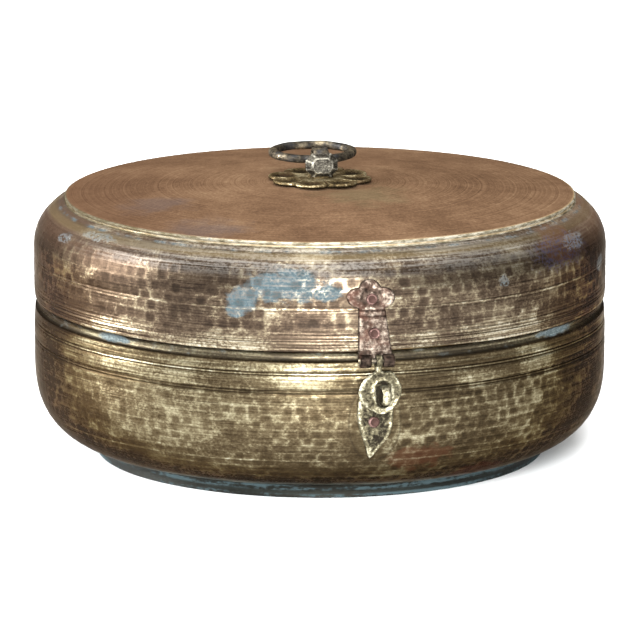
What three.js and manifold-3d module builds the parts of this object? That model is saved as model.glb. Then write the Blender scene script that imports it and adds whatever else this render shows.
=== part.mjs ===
// A round spice box (masala dabba) of hammered and turned brass: a base bowl on a foot ring, a lid hinged
// at the back, a riveted hasp and staple at the front, a ring handle on top, and seven spice cups inside.
// Millimetres, +Z up. The origin is the centre of the foot's underside; the hasp faces -Y.
import * as THREE from "three";
import { mergeVertices } from "three/addons/utils/BufferGeometryUtils.js";
import Module from "manifold-3d";

const wasm = await Module();
wasm.setup();

// ---- Driving dimensions ----
const gap = 0.3; // left between pieces that touch

const bodyRadius = 158.6; // widest radius of base and lid
const wall = 1.8; // beaten sheet of base and lid
const shellSegments = 48;

const footInset = 34; // foot ring's outer face, inside the widest radius
const footHeight = 7;
const footWall = 3.3;
const footFlare = 1.5; // the bowl leaves the foot this far outside the foot ring
const bellyRise = 52; // height over which the bowl curves out to its full radius
const bellyShape = 3.2; // exponents of the bowl's curve
const bellyFullness = 1.6;

const baseHeight = 87.3; // top face of the base's rim
const edgeInset = 0.6; // base and lid are this much narrower at the seam
const coveHeight = 5.3; // hollow moulding under the seam
const coveDepth = 1.9;
const lidOverhang = 0.8; // the lid's edge stands this far outside the base's rim

const collarWall = 1.6; // upright ring inside the rim that the lid drops over
const collarClearance = 2;
const collarRise = 5; // above the rim
const collarDepth = 11; // below the rim
const collarRamp = 2; // height over which the bowl's wall thickens under the collar

const lidSide = 28.4; // upright part of the lid
const shoulderRadius = 26;
const shoulderInset = 17.3; // top disc's edge, inside the widest radius
const discStep = 3.1; // upright step at the top disc's edge
const domeRise = 6.8;

const rosetteRadius = 29;
const rosetteLobes = 8;
const rosetteNotch = 0.85; // notch radius as a share of the rosette's own radius
const rosetteThickness = 2.4;

const ringTube = 2.5; // radius of the ring handle's bar
const ringRadius = 22.1; // to the middle of the bar
const ringHeight = 9.2; // bar's middle above the rosette's top face
const eyeWidth = 9;
const eyeRadius = 7;
const eyeClearance = 0.85;
const bossWidth = 18; // faceted boss on the front of the eye
const bossHeight = 13;
const bossDepth = 5.2;
const bossStandoff = 3.3; // back of the boss to the ring's swing axis
const neckRadius = 5.6;
const shankRadius = 4;
const washerRadius = 11;
const washerThickness = 2.4;
const peenRadius = 6.4;
const peenHeight = 1.8;

const strapThickness = 2;
const strapLength = 43.3; // from the hasp's pin to the top of its head
const strapTopWidth = 15;
const strapFootWidth = 18.6;
const strapLean = -0.075; // the strap was riveted on a little out of upright
const headLobe = 6.2; // radius of the strap's rounded top
const sideLobe = 5; // radius of the two lobes beside it
const sideLobeOut = 8; // their centres, from the strap's middle
const strapRivetRises = [14.6, 33.2]; // above the hasp's pin

const knuckleRadius = 3.6;
const haspPinRadius = 1.5;
const haspPinDrop = 3.8; // below the rim of the base
const knuckleGap = 6.4; // between the strap's two knuckles
const linkTongue = 3.4; // width of the link's eye
const tongueShift = 1; // middle of the eye, to the side of the strap's middle
const linkThickness = 2.2;
const linkDrop = 29.3; // pin to the link's lowest edge
const linkHalfWidth = 11.8;
const linkShift = 1.8; // the link's middle, to one side of the strap's

const plateThickness = 1.6;
const plateTop = 11.5; // top of the staple plate below the hasp's pin
const plateTip = 54.5; // tip of the staple plate below the hasp's pin
const plateHalfWidth = 9.8;
const plateTipShift = 2.5;
const plateRivetDrop = 33.6;

const stapleWidth = 4.5;
const stapleBar = 2.3; // thickness of the staple's legs and bow
const stapleTop = 13.6; // below the hasp's pin
const stapleBottom = 23.9;
const stapleReach = 8.2; // bow's outer face from the hasp's pin
const stapleSide = 4.2; // middle of the staple, to the side of the strap's middle
const slotMargin = 1.6; // slot in the link, round the staple

const hingeKnuckle = 4.2;
const hingePinRadius = 1.8;
const hingeWidth = 34;
const hingeLeafWidth = 20;
const hingeKnuckleShare = 0.36; // width of the lid's knuckle as a share of the hinge
const hingeRivetPitch = 10;
const hingeLeafMargin = 7; // from the far rivet to the leaf's end

const rivetShank = 1.6;
const rivetHead = 3.3;
const rivetHeadHeight = 1.3;
const rivetTail = 2.7;
const rivetTailHeight = 0.9;

const cupCount = 6; // in a circle round the middle cup
const cupHeight = 44;
const cupWall = 1.1;
const cupGap = 4; // between two cups' mouths
const cupMargin = 19.6; // outer cups' mouths to the collar
const cupFlare = 11; // mouth radius less foot radius
const cupCurve = 20; // height of the rounded foot of a cup
const cupSegments = 24;

const spoonBowl = 12;
const spoonBowlDepth = 5;
const spoonWall = 1.4;
const spoonHandleWidth = 6.4;
const spoonOverhang = 12; // handle past the cup's rim

// ---- Places worked out from them ----
const footRadius = bodyRadius - footInset;
const floorUnder = footHeight + gap;
const floorTop = floorUnder + wall;
const seam = baseHeight + gap; // lower edge of the lid
const edgeRadius = bodyRadius - edgeInset;
const rimRadius = edgeRadius - lidOverhang;
const collarOuter = edgeRadius - wall - collarClearance;
const collarInner = collarOuter - collarWall;
const rimInner = collarOuter + gap;
const shoulderBase = seam + lidSide;
const shoulderCentre = bodyRadius - shoulderRadius;
const discRadius = bodyRadius - shoulderInset;
const shoulderTop = shoulderBase + Math.sqrt(shoulderRadius ** 2 - (discRadius - shoulderCentre) ** 2);
const discEdge = shoulderTop + discStep;
const domeTop = discEdge + domeRise;
const domeRadius = (discRadius ** 2 + domeRise ** 2) / (2 * domeRise);
const rosetteUnder = domeTop + gap;
const rosetteTop = rosetteUnder + rosetteThickness;
const ringZ = rosetteTop + ringHeight;
const frontFace = -(bodyRadius + gap); // back of everything fastened to the front
const haspPinY = frontFace - knuckleRadius - gap;
const haspPinZ = baseHeight - haspPinDrop;
const backFace = bodyRadius + gap;
const hingeY = backFace + hingeKnuckle;
const hingeZ = baseHeight + gap / 2;

// ---- Geometry helpers ----
const V2 = (x, y) => new THREE.Vector2(x, y);

function toSolid(geometry) {
  const loose = geometry.index ? geometry.toNonIndexed() : geometry.clone();
  loose.deleteAttribute("normal");
  loose.deleteAttribute("uv");
  const merged = mergeVertices(loose, 1e-4);
  const corners = merged.index.array;
  const kept = [];
  for (let i = 0; i < corners.length; i += 3) {
    const [a, b, c] = [corners[i], corners[i + 1], corners[i + 2]];
    if (a !== b && b !== c && c !== a) kept.push(a, b, c);
  }
  const made = new wasm.Manifold(
    new wasm.Mesh({
      numProp: 3,
      vertProperties: merged.attributes.position.array,
      triVerts: new Uint32Array(kept),
    }),
  );
  return made;
}

function toGeometry(solid) {
  const made = solid.getMesh();
  const geometry = new THREE.BufferGeometry();
  geometry.setAttribute("position", new THREE.BufferAttribute(made.vertProperties, made.numProp));
  geometry.setIndex(new THREE.BufferAttribute(made.triVerts, 1));
  geometry.computeVertexNormals();
  return geometry;
}

const join = (first, ...others) => others.reduce((whole, other) => whole.add(other), first);
const cut = (first, ...others) => others.reduce((whole, other) => whole.subtract(other), first);

// A profile of (radius, height) points turned about Z.
function turned(points, segments) {
  return toSolid(new THREE.LatheGeometry(points, segments).rotateX(Math.PI / 2));
}

// An outline in the XZ plane, from back to front: its thickness runs towards -Y from backY.
function plate(shape, thickness, backY, curveSegments = 6) {
  const geometry = new THREE.ExtrudeGeometry(shape, {
    depth: thickness,
    bevelEnabled: false,
    curveSegments,
  });
  return toSolid(geometry.rotateX(Math.PI / 2).translate(0, backY, 0));
}

function box(size, centre) {
  return toSolid(new THREE.BoxGeometry(...size).translate(...centre));
}

function rodX(radius, from, to, y, z, sides = 16) {
  const rod = new THREE.CylinderGeometry(radius, radius, to - from, sides).rotateZ(Math.PI / 2);
  return toSolid(rod.translate((from + to) / 2, y, z));
}

function rodY(radius, from, to, x, z, sides = 12) {
  const rod = new THREE.CylinderGeometry(radius, radius, to - from, sides);
  return toSolid(rod.translate(x, (from + to) / 2, z));
}

function rodZ(radius, from, to, sides = 24) {
  const rod = new THREE.CylinderGeometry(radius, radius, to - from, sides).rotateX(Math.PI / 2);
  return toSolid(rod.translate(0, 0, (from + to) / 2));
}

// A closed polyline moved to its left by a distance, for the inside face of a shell.
function inset(points, distance) {
  return points.map((point, i) => {
    const before = points[Math.max(i - 1, 0)];
    const after = points[Math.min(i + 1, points.length - 1)];
    const along = V2(after.x - before.x, after.y - before.y).normalize();
    return V2(point.x - along.y * distance, point.y + along.x * distance);
  });
}

// ---- Finishes ----
const finish = (color, roughness, metalness = 1) =>
  new THREE.MeshStandardMaterial({ color, roughness, metalness });

const agedBrass = () => finish(0x8a7440, 0.42);
const lidBrass = () => finish(0x7b5f3c, 0.45);
const verdigrisBrass = () => finish(0x7d8b7f, 0.7, 0.6);
const wornHardware = () => finish(0x8f8360, 0.5);
const darkBronze = () => finish(0x5f5848, 0.5);
const copper = () => finish(0xb5705c, 0.4);
const cleanBrass = () => finish(0xa88f4f, 0.3);

const part = new THREE.Group();

function place(name, solid, material) {
  const mesh = new THREE.Mesh(toGeometry(solid), material);
  mesh.name = name;
  part.add(mesh);
}

// ---- Rivets: a head outside, a shank through the pieces, a hammered tail inside ----
// outward is -1 for the front of the box and 1 for the back; seat is where the head sits.
function rivet(x, z, seat, inner, outward) {
  const head = rodY(rivetHead, ...sorted(seat, seat + outward * rivetHeadHeight), x, z, 14);
  const shank = rodY(rivetShank, ...sorted(seat + outward * 0.5, inner - outward * 0.5), x, z, 10);
  const tail = rodY(rivetTail, ...sorted(inner, inner - outward * rivetTailHeight), x, z, 10);
  return join(head, shank, tail);
}

function rivetHole(x, z, outward) {
  const near = outward * (bodyRadius - 12);
  const far = outward * (bodyRadius + 12);
  return rodY(rivetShank + gap + 0.1, ...sorted(near, far), x, z, 10);
}

const sorted = (a, b) => [Math.min(a, b), Math.max(a, b)];

// Radius of a profile at a height, along its straight stretches.
function radiusAt(profile, z) {
  const i = Math.max(1, profile.findIndex((point) => point.y >= z));
  const [low, high] = [profile[i - 1], profile[i]];
  return low.x + ((high.x - low.x) * (z - low.y)) / (high.y - low.y);
}

// How far from the box's middle plane a tail lies against the inside of a shell, at a sideways
// distance x and a height z, when it reaches halfHeight above and below.
function insideFace(profile, x, z, halfHeight) {
  const radius = Math.min(radiusAt(profile, z - halfHeight), radiusAt(profile, z + halfHeight));
  const polygon = radius * Math.cos(Math.PI / shellSegments);
  return Math.sqrt(polygon ** 2 - (Math.abs(x) + rivetTail) ** 2) - gap;
}

// the near rivets' tails clear the collar's foot
const nearHingeRivet = collarDepth + collarRamp + rivetTail + 1.5;
const hingeRivetRises = [nearHingeRivet, nearHingeRivet + hingeRivetPitch];
const hingeLeafLength = nearHingeRivet + hingeRivetPitch + hingeLeafMargin;

const strapRivets = strapRivetRises.map((rise) => ({ x: strapLean * rise, z: haspPinZ + rise }));
const plateRivet = { x: -1, z: haspPinZ - plateRivetDrop };
const lidHingeRivets = hingeRivetRises.map((rise) => ({ x: 0, z: hingeZ + rise }));
const baseHingeRivets = hingeRivetRises.map((rise) => ({ x: 0, z: hingeZ - rise }));

// ---- Base ----
const bellyStart = footRadius + footFlare;

function bellyPoints(steps) {
  return Array.from({ length: steps + 1 }, (_, i) => {
    const rise = (i / steps) ** 1.7;
    const out = (1 - (1 - rise) ** bellyShape) ** (1 / bellyFullness);
    return V2(bellyStart + (bodyRadius - bellyStart) * out, floorUnder + gap + bellyRise * rise);
  });
}

function covePoints(steps) {
  const foot = baseHeight - coveHeight;
  return Array.from({ length: steps + 1 }, (_, i) => {
    const share = i / steps;
    const straight = edgeRadius + (rimRadius - edgeRadius) * share;
    return V2(straight - coveDepth * Math.sin(Math.PI * share), foot + coveHeight * share);
  });
}

const belly = bellyPoints(7);
const collarFoot = baseHeight - collarDepth - gap;
const bowlInside = [
  V2(bellyStart - wall / 2, floorTop),
  ...inset(belly, wall).slice(1),
  V2(edgeRadius - wall, collarFoot - collarRamp),
];

const stapleLegs = [
  [haspPinZ - stapleTop - stapleBar, haspPinZ - stapleTop],
  [haspPinZ - stapleBottom, haspPinZ - stapleBottom + stapleBar],
];

function stapleHoles() {
  return stapleLegs.map(([low, high]) =>
    box(
      [stapleWidth + 2 * gap, 24, high - low + 2 * gap],
      [stapleSide, -bodyRadius, (low + high) / 2],
    ),
  );
}

function baseBowl() {
  const shell = turned(
    [
      V2(0, floorUnder),
      V2(footRadius + gap, floorUnder),
      ...belly,
      ...covePoints(3),
      V2(rimInner, baseHeight),
      V2(rimInner, collarFoot),
      ...bowlInside.toReversed(),
      V2(0, floorTop),
    ],
    shellSegments,
  );
  return cut(
    shell,
    rivetHole(plateRivet.x, plateRivet.z, -1),
    ...stapleHoles(),
    ...baseHingeRivets.map(({ x, z }) => rivetHole(x, z, 1)),
  );
}

function ringOf(outer, inner, low, high) {
  const corners = [V2(inner, low), V2(outer, low), V2(outer, high), V2(inner, high)];
  return turned([...corners, corners[0]], shellSegments);
}

place("base_bowl", baseBowl(), agedBrass());
place("foot_ring", ringOf(footRadius, footRadius - footWall, 0, footHeight), verdigrisBrass());
place(
  "rim_collar",
  ringOf(collarOuter, collarInner, baseHeight - collarDepth, baseHeight + collarRise),
  agedBrass(),
);

// ---- Lid ----
function shoulderPoints(radius, endRadius, steps) {
  const end = Math.acos((endRadius - shoulderCentre) / radius);
  return Array.from({ length: steps + 1 }, (_, i) => {
    const angle = (end * i) / steps;
    return V2(shoulderCentre + radius * Math.cos(angle), shoulderBase + radius * Math.sin(angle));
  });
}

function domeHeight(radius) {
  return domeTop - domeRadius + Math.sqrt(domeRadius ** 2 - radius ** 2);
}

const inDisc = discRadius - wall;
const underPost = washerRadius + 1; // the dome's underside is true to its curve out to here
const washerTop = domeHeight(underPost) - wall - gap;
const lidInside = [
  V2(edgeRadius - wall, seam),
  ...shoulderPoints(shoulderRadius - wall, inDisc, 5),
];

function lidShell() {
  const domeRings = [discRadius, discRadius * 0.55];
  const insideRings = [underPost, inDisc * 0.55, inDisc];
  const shell = turned(
    [
      V2(edgeRadius - wall, seam),
      V2(edgeRadius, seam),
      ...shoulderPoints(shoulderRadius, discRadius, 5),
      ...domeRings.map((radius) => V2(radius, domeHeight(radius))),
      V2(0, domeTop),
      V2(0, domeTop - wall),
      ...insideRings.map((radius) => V2(radius, domeHeight(radius) - wall)),
      ...lidInside.toReversed(),
    ],
    shellSegments,
  );
  return cut(
    shell,
    rodZ(shankRadius + gap, domeTop - 3 * wall, domeTop + wall, 16),
    ...strapRivets.map(({ x, z }) => rivetHole(x, z, -1)),
    ...lidHingeRivets.map(({ x, z }) => rivetHole(x, z, 1)),
  );
}

place("lid_shell", lidShell(), lidBrass());

// ---- Ring handle ----
function rosetteShape() {
  const half = Math.PI / rosetteLobes;
  const notch = rosetteRadius * rosetteNotch;
  const across = notch * Math.sin(half);
  const out = notch * Math.cos(half);
  const centre = (rosetteRadius ** 2 - out ** 2 - across ** 2) / (2 * (rosetteRadius - out));
  const lobe = rosetteRadius - centre;
  const spread = Math.atan2(across, out - centre);
  const shape = new THREE.Shape();
  for (let i = 0; i < rosetteLobes; i++) {
    const turn = -Math.PI / 2 + half + (2 * Math.PI * i) / rosetteLobes;
    const [x, y] = [centre * Math.cos(turn), centre * Math.sin(turn)];
    shape.absarc(x, y, lobe, turn - spread, turn + spread, false);
  }
  shape.closePath();
  const hole = new THREE.Path();
  hole.absarc(0, 0, shankRadius + gap, 0, 2 * Math.PI, true);
  shape.holes.push(hole);
  return shape;
}

function handleRosette() {
  const geometry = new THREE.ExtrudeGeometry(rosetteShape(), {
    depth: rosetteThickness,
    bevelEnabled: false,
    curveSegments: 8,
  });
  return toSolid(geometry.translate(0, 0, rosetteUnder));
}

function handlePost() {
  const corner = bossHeight / 3.4; // the boss is a block with its corners cut off
  const [halfWidth, low] = [bossWidth / 2, rosetteTop + gap];
  const high = low + bossHeight;
  const boss = new THREE.Shape([
    V2(-halfWidth + corner, low),
    V2(halfWidth - corner, low),
    V2(halfWidth, low + corner),
    V2(halfWidth, high - corner),
    V2(halfWidth - corner, high),
    V2(-halfWidth + corner, high),
    V2(-halfWidth, high - corner),
    V2(-halfWidth, low + corner),
  ]);
  const washerUnder = washerTop - washerThickness;
  const eye = rodX(eyeRadius, -eyeWidth / 2, eyeWidth / 2, 0, ringZ, 20);
  const web = box(
    [eyeWidth, bossStandoff + 1, 2 * eyeRadius - 4],
    [0, -(bossStandoff + 1) / 2, ringZ - 1],
  );
  const solid = join(
    plate(boss, bossDepth, -bossStandoff),
    eye,
    web,
    rodZ(neckRadius, rosetteTop + gap, ringZ - ringTube, 16),
    rodZ(shankRadius, washerUnder - 1, rosetteTop + 1, 16),
    rodZ(peenRadius, washerUnder - gap - peenHeight, washerUnder - gap, 16),
  );
  const bore = rodX(ringTube + eyeClearance, -eyeWidth, eyeWidth, 0, ringZ, 16);
  return cut(solid, bore);
}

function handleRing() {
  const ring = new THREE.TorusGeometry(ringRadius, ringTube, 8, 28);
  return toSolid(ring.translate(0, ringRadius, ringZ));
}

function postWasher() {
  const disc = rodZ(washerRadius, washerTop - washerThickness, washerTop);
  return cut(disc, rodZ(shankRadius + gap, washerTop - 2 * washerThickness, washerTop + 1, 16));
}

place("handle_rosette", handleRosette(), wornHardware());
place("handle_post", handlePost(), wornHardware());
place("handle_ring", handleRing(), darkBronze());
place("post_washer", postWasher(), cleanBrass());

// ---- Hasp: a strap on the lid, a link that swings on its pin ----
function knuckle(from, to) {
  return rodX(knuckleRadius, from, to, haspPinY, haspPinZ, 18);
}

const haspPinBore = (reach) =>
  rodX(haspPinRadius + gap, -reach, reach, haspPinY, haspPinZ, 14);

function strapShape() {
  const foot = haspPinZ + 1;
  const neck = haspPinZ + strapRivetRises[1] - headLobe;
  const lobes = haspPinZ + strapRivetRises[1] + 0.5;
  const top = haspPinZ + strapLength;
  const lean = (z) => strapLean * (z - haspPinZ);
  const side = (sign, width, z) => V2(lean(z) + (sign * width) / 2, z);
  const shape = new THREE.Shape();
  shape.moveTo(...side(-1, strapFootWidth, foot));
  shape.lineTo(...side(1, strapFootWidth, foot));
  shape.lineTo(...side(1, strapTopWidth, neck));
  const [rightX, leftX] = [lean(lobes) + sideLobeOut, lean(lobes) - sideLobeOut];
  shape.absarc(rightX, lobes, sideLobe, -Math.PI / 2, Math.PI / 2, false);
  shape.absarc(lean(top), top - headLobe, headLobe, 0.1, Math.PI - 0.1, false);
  shape.absarc(leftX, lobes, sideLobe, Math.PI / 2, 1.5 * Math.PI, false);
  shape.lineTo(...side(-1, strapTopWidth, neck));
  shape.closePath();
  return shape;
}

function haspStrap() {
  const solid = join(
    plate(strapShape(), strapThickness, frontFace),
    knuckle(-strapFootWidth / 2, -knuckleGap / 2),
    knuckle(knuckleGap / 2, strapFootWidth / 2),
  );
  // room for the link's eye between the knuckles
  const notch = box(
    [knuckleGap, 4 * knuckleRadius, 3 * knuckleRadius + 1],
    [0, haspPinY, haspPinZ - 0.5 * knuckleRadius + 2],
  );
  return cut(
    solid,
    notch,
    haspPinBore(bossWidth),
    ...strapRivets.map(({ x, z }) => rivetHole(x, z, -1)),
  );
}

const slotLow = stapleBottom + slotMargin + 0.6; // below the pin
const slotHigh = stapleTop - slotMargin - 1;

function linkShape() {
  const left = linkShift - linkHalfWidth;
  const right = linkShift + linkHalfWidth;
  const z = (drop) => haspPinZ - drop;
  const shape = new THREE.Shape();
  const tongue = linkTongue / 2;
  const shoulder = knuckleRadius + 2;
  const widest = 0.57 * linkDrop;
  shape.moveTo(tongueShift - tongue, z(0));
  shape.lineTo(tongueShift - tongue, z(shoulder));
  shape.lineTo(-tongue - 1, z(shoulder));
  shape.bezierCurveTo(-tongue - 3, z(shoulder + 4), left, z(widest - 6), left, z(widest));
  shape.bezierCurveTo(left, z(widest + 6), -4, z(linkDrop - 3), linkShift, z(linkDrop));
  shape.bezierCurveTo(right - 4, z(linkDrop), right - 4, z(linkDrop - 5), right - 1.5, z(widest + 5));
  shape.bezierCurveTo(right + 1, z(widest), right, z(widest - 7), tongue + 3.5, z(shoulder));
  shape.lineTo(tongueShift + tongue, z(shoulder));
  shape.lineTo(tongueShift + tongue, z(0));
  shape.closePath();
  const [west, east] = [
    stapleSide - stapleWidth / 2 - slotMargin,
    stapleSide + stapleWidth / 2 + slotMargin,
  ];
  const slot = new THREE.Path([
    V2(west - 1.6, z(slotHigh)),
    V2(west, z(slotLow)),
    V2(east, z(slotLow)),
    V2(east - 1.2, z(slotHigh)),
  ]);
  shape.holes.push(slot);
  return shape;
}

function haspLink() {
  const [from, to] = [tongueShift - linkTongue / 2, tongueShift + linkTongue / 2];
  const eye = rodX(knuckleRadius - gap, from, to, haspPinY, haspPinZ, 18);
  const sheet = plate(linkShape(), linkThickness, haspPinY + linkThickness / 2);
  return cut(join(sheet, eye), haspPinBore(bossWidth));
}

place("hasp_strap", haspStrap(), wornHardware());
place("hasp_link", haspLink(), wornHardware());
place(
  "hasp_pin",
  rodX(haspPinRadius, -strapFootWidth / 2 - 0.6, strapFootWidth / 2 + 0.6, haspPinY, haspPinZ, 14),
  darkBronze(),
);
["hasp_rivet_lower", "hasp_rivet_upper"].forEach((name, i) => {
  const { x, z } = strapRivets[i];
  const seat = frontFace - strapThickness - gap;
  place(name, rivet(x, z, seat, -insideFace(lidInside, x, z, rivetTail), -1), copper());
});

// ---- Staple and its leaf-shaped plate on the base ----
function plateShape() {
  const down = (share) => haspPinZ - plateTop - (plateTip - plateTop) * share;
  const half = plateHalfWidth;
  const shape = new THREE.Shape();
  shape.moveTo(stapleSide - 1, down(0));
  shape.bezierCurveTo(-half * 0.6, down(0), -half, down(0.25), -half, down(0.42));
  shape.bezierCurveTo(-half, down(0.7), -plateTipShift, down(0.8), -plateTipShift, down(1));
  shape.bezierCurveTo(1, down(0.86), half, down(0.8), half, down(0.5));
  shape.bezierCurveTo(half * 1.05, down(0.2), half, down(0), stapleSide - 1, down(0));
  return shape;
}

function staplePlate() {
  return cut(
    plate(plateShape(), plateThickness, frontFace),
    rivetHole(plateRivet.x, plateRivet.z, -1),
    ...stapleHoles(),
  );
}

function staple() {
  const outer = haspPinY - stapleReach;
  const height = stapleBottom - stapleTop;
  const middle = haspPinZ - stapleTop - height / 2;
  const clinch = -insideFace(bowlInside, stapleSide, middle, height / 2);
  const bow = box(
    [stapleWidth, stapleBar, height],
    [stapleSide, outer + stapleBar / 2, middle],
  );
  const legs = stapleLegs.map(([low, high]) =>
    box(
      [stapleWidth, clinch + 0.5 - outer, high - low],
      [stapleSide, (outer + clinch + 0.5) / 2, (low + high) / 2],
    ),
  );
  // the legs' ends are hammered over inside the bowl, towards each other
  const bar = box(
    [stapleWidth, rivetTailHeight, height],
    [stapleSide, clinch + rivetTailHeight / 2, middle],
  );
  return join(bow, ...legs, bar);
}

place("staple_plate", staplePlate(), wornHardware());
place("staple", staple(), wornHardware());
place(
  "plate_rivet",
  rivet(
    plateRivet.x,
    plateRivet.z,
    frontFace - plateThickness - gap,
    -insideFace(bowlInside, plateRivet.x, plateRivet.z, rivetTail),
    -1,
  ),
  copper(),
);

// ---- Hinge at the back ----
const middleKnuckle = (hingeWidth * hingeKnuckleShare) / 2;

function leaf(up, knuckles, notches) {
  const half = hingeLeafWidth / 2;
  const end = hingeZ + up * (hingeLeafLength - half);
  const shape = new THREE.Shape();
  shape.moveTo(-hingeWidth / 2, hingeZ + up * 0.5);
  shape.lineTo(-hingeWidth / 2, hingeZ + up * hingeKnuckle);
  shape.lineTo(-half, hingeZ + up * 2.4 * hingeKnuckle);
  shape.lineTo(-half, end);
  shape.absarc(0, end, half, Math.PI, 0, up > 0);
  shape.lineTo(half, hingeZ + up * 2.4 * hingeKnuckle);
  shape.lineTo(hingeWidth / 2, hingeZ + up * hingeKnuckle);
  shape.lineTo(hingeWidth / 2, hingeZ + up * 0.5);
  shape.closePath();
  const rods = knuckles.map(([from, to]) => rodX(hingeKnuckle, from, to, hingeY, hingeZ, 20));
  const rooms = notches.map(([from, to]) =>
    box([to - from, 3 * hingeKnuckle, 2.6 * hingeKnuckle], [(from + to) / 2, hingeY, hingeZ]),
  );
  const rivets = up > 0 ? lidHingeRivets : baseHingeRivets;
  const sheet = cut(plate(shape, strapThickness, backFace + strapThickness), ...rooms);
  return cut(
    join(sheet, ...rods),
    rodX(hingePinRadius + gap, -hingeWidth, hingeWidth, hingeY, hingeZ, 16),
    ...rivets.map(({ x, z }) => rivetHole(x, z, 1)),
  );
}

const inner = middleKnuckle;
const outerEdge = hingeWidth / 2;
const clear = middleKnuckle + gap;
const beyond = outerEdge + 1;
place(
  "hinge_leaf_lid",
  leaf(1, [[-inner, inner]], [[-beyond, -inner], [inner, beyond]]),
  wornHardware(),
);
place(
  "hinge_leaf_base",
  leaf(-1, [[-outerEdge, -clear], [clear, outerEdge]], [[-clear, clear]]),
  wornHardware(),
);
place(
  "hinge_pin",
  rodX(hingePinRadius, -outerEdge - 1, outerEdge + 1, hingeY, hingeZ, 16),
  darkBronze(),
);
const hingeSeat = backFace + strapThickness + gap;
lidHingeRivets.forEach(({ x, z }, i) => {
  const name = `lid_hinge_rivet_${i + 1}`;
  place(name, rivet(x, z, hingeSeat, insideFace(lidInside, x, z, rivetTail), 1), copper());
});
baseHingeRivets.forEach(({ x, z }, i) => {
  const name = `base_hinge_rivet_${i + 1}`;
  place(name, rivet(x, z, hingeSeat, insideFace(bowlInside, x, z, rivetTail), 1), copper());
});

// ---- Spice cups ----
const cupMouth = (collarInner - cupMargin - cupGap) / 3;
const cupPitch = 2 * cupMouth + cupGap;
const cupFoot = cupMouth - cupFlare;
const cupStands = floorTop + gap;

function cupSide(mouth, foot, low, high, curve, steps) {
  const rounded = Array.from({ length: steps + 1 }, (_, i) => {
    const angle = ((Math.PI / 2) * i) / steps;
    return V2(foot + (mouth - foot) * Math.sin(angle), low + curve * (1 - Math.cos(angle)));
  });
  return [...rounded, V2(mouth, high)];
}

function cup(x, y) {
  const top = cupStands + cupHeight;
  const outside = cupSide(cupMouth, cupFoot, cupStands, top, cupCurve, 3);
  const inside = cupSide(
    cupMouth - cupWall,
    cupFoot - cupWall,
    cupStands + cupWall,
    top,
    cupCurve,
    3,
  ).reverse();
  const profile = [V2(0, cupStands), ...outside, ...inside, V2(0, cupStands + cupWall)];
  return turned(profile, cupSegments).translate([x, y, 0]);
}

place("cup_centre", cup(0, 0), cleanBrass());
for (let i = 0; i < cupCount; i++) {
  const angle = ((i + 0.5) * 2 * Math.PI) / cupCount;
  place(`cup_${i + 1}`, cup(cupPitch * Math.cos(angle), cupPitch * Math.sin(angle)), cleanBrass());
}

// ---- Spoon: its bowl in the middle cup, its handle on the cup's rim between two outer cups ----
function spoon() {
  const bowlX = -(cupFoot - spoonBowl - 2);
  const bowlZ = cupStands + cupWall + 0.8 * spoonBowl;
  const run = cupMouth - bowlX;
  const slope = (cupStands + cupHeight - bowlZ) / run;
  // the handle's underside passes just over the cup's rim
  const over = (spoonWall / 2 + 2 * gap) * Math.hypot(1, slope) + cupWall * slope;
  const rise = slope * run + over;
  const length = Math.hypot(rise, run) + spoonOverhang;
  const bowl = turned(
    [
      V2(0, -spoonBowlDepth),
      V2(spoonBowl * 0.55, -spoonBowlDepth * 0.82),
      V2(spoonBowl * 0.88, -spoonBowlDepth * 0.4),
      V2(spoonBowl, spoonWall / 2),
      V2(spoonBowl - spoonWall, spoonWall / 2),
      V2(spoonBowl * 0.78, -spoonBowlDepth * 0.4 + spoonWall * 0.6),
      V2(spoonBowl * 0.45, -spoonBowlDepth * 0.82 + spoonWall),
      V2(0, -spoonBowlDepth + spoonWall),
    ],
    20,
  );
  const from = spoonBowl - spoonWall * 0.8;
  const handle = new THREE.Shape();
  const end = length - spoonHandleWidth / 2;
  handle.moveTo(from, -spoonHandleWidth / 3);
  handle.lineTo(end, -spoonHandleWidth / 2);
  handle.absarc(end, 0, spoonHandleWidth / 2, -Math.PI / 2, Math.PI / 2, false);
  handle.lineTo(from, spoonHandleWidth / 3);
  handle.closePath();
  const strip = { depth: spoonWall, bevelEnabled: false, curveSegments: 6 };
  const bar = toSolid(new THREE.ExtrudeGeometry(handle, strip).translate(0, 0, -spoonWall / 2));
  const lean = THREE.MathUtils.radToDeg(Math.atan2(rise, run));
  return join(bowl, bar).rotate([0, -lean, 0]).translate([bowlX, 0, bowlZ]);
}

place("spoon", spoon(), cleanBrass());

export default part;
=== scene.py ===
# %% [markdown]
# # An old hammered brass spice box
#
# A masala dabba is the round tin that an Indian kitchen keeps its spices in. This one is beaten from
# brass sheet and then turned: a bowl on a foot ring, a lid hinged at the back, a riveted hasp at the
# front, a ring handle on a flower-shaped rose, and seven spice cups inside. The CAD model gives every
# size and every joint. The cells below give each piece its beaten, turned and worn surface.

# %% Load the frame
from math import atan2, ceil, cos, degrees, hypot, pi, radians, sin, sqrt, tau

import bmesh
import bpy
import numpy as np
from mathutils import Matrix, Vector


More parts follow.
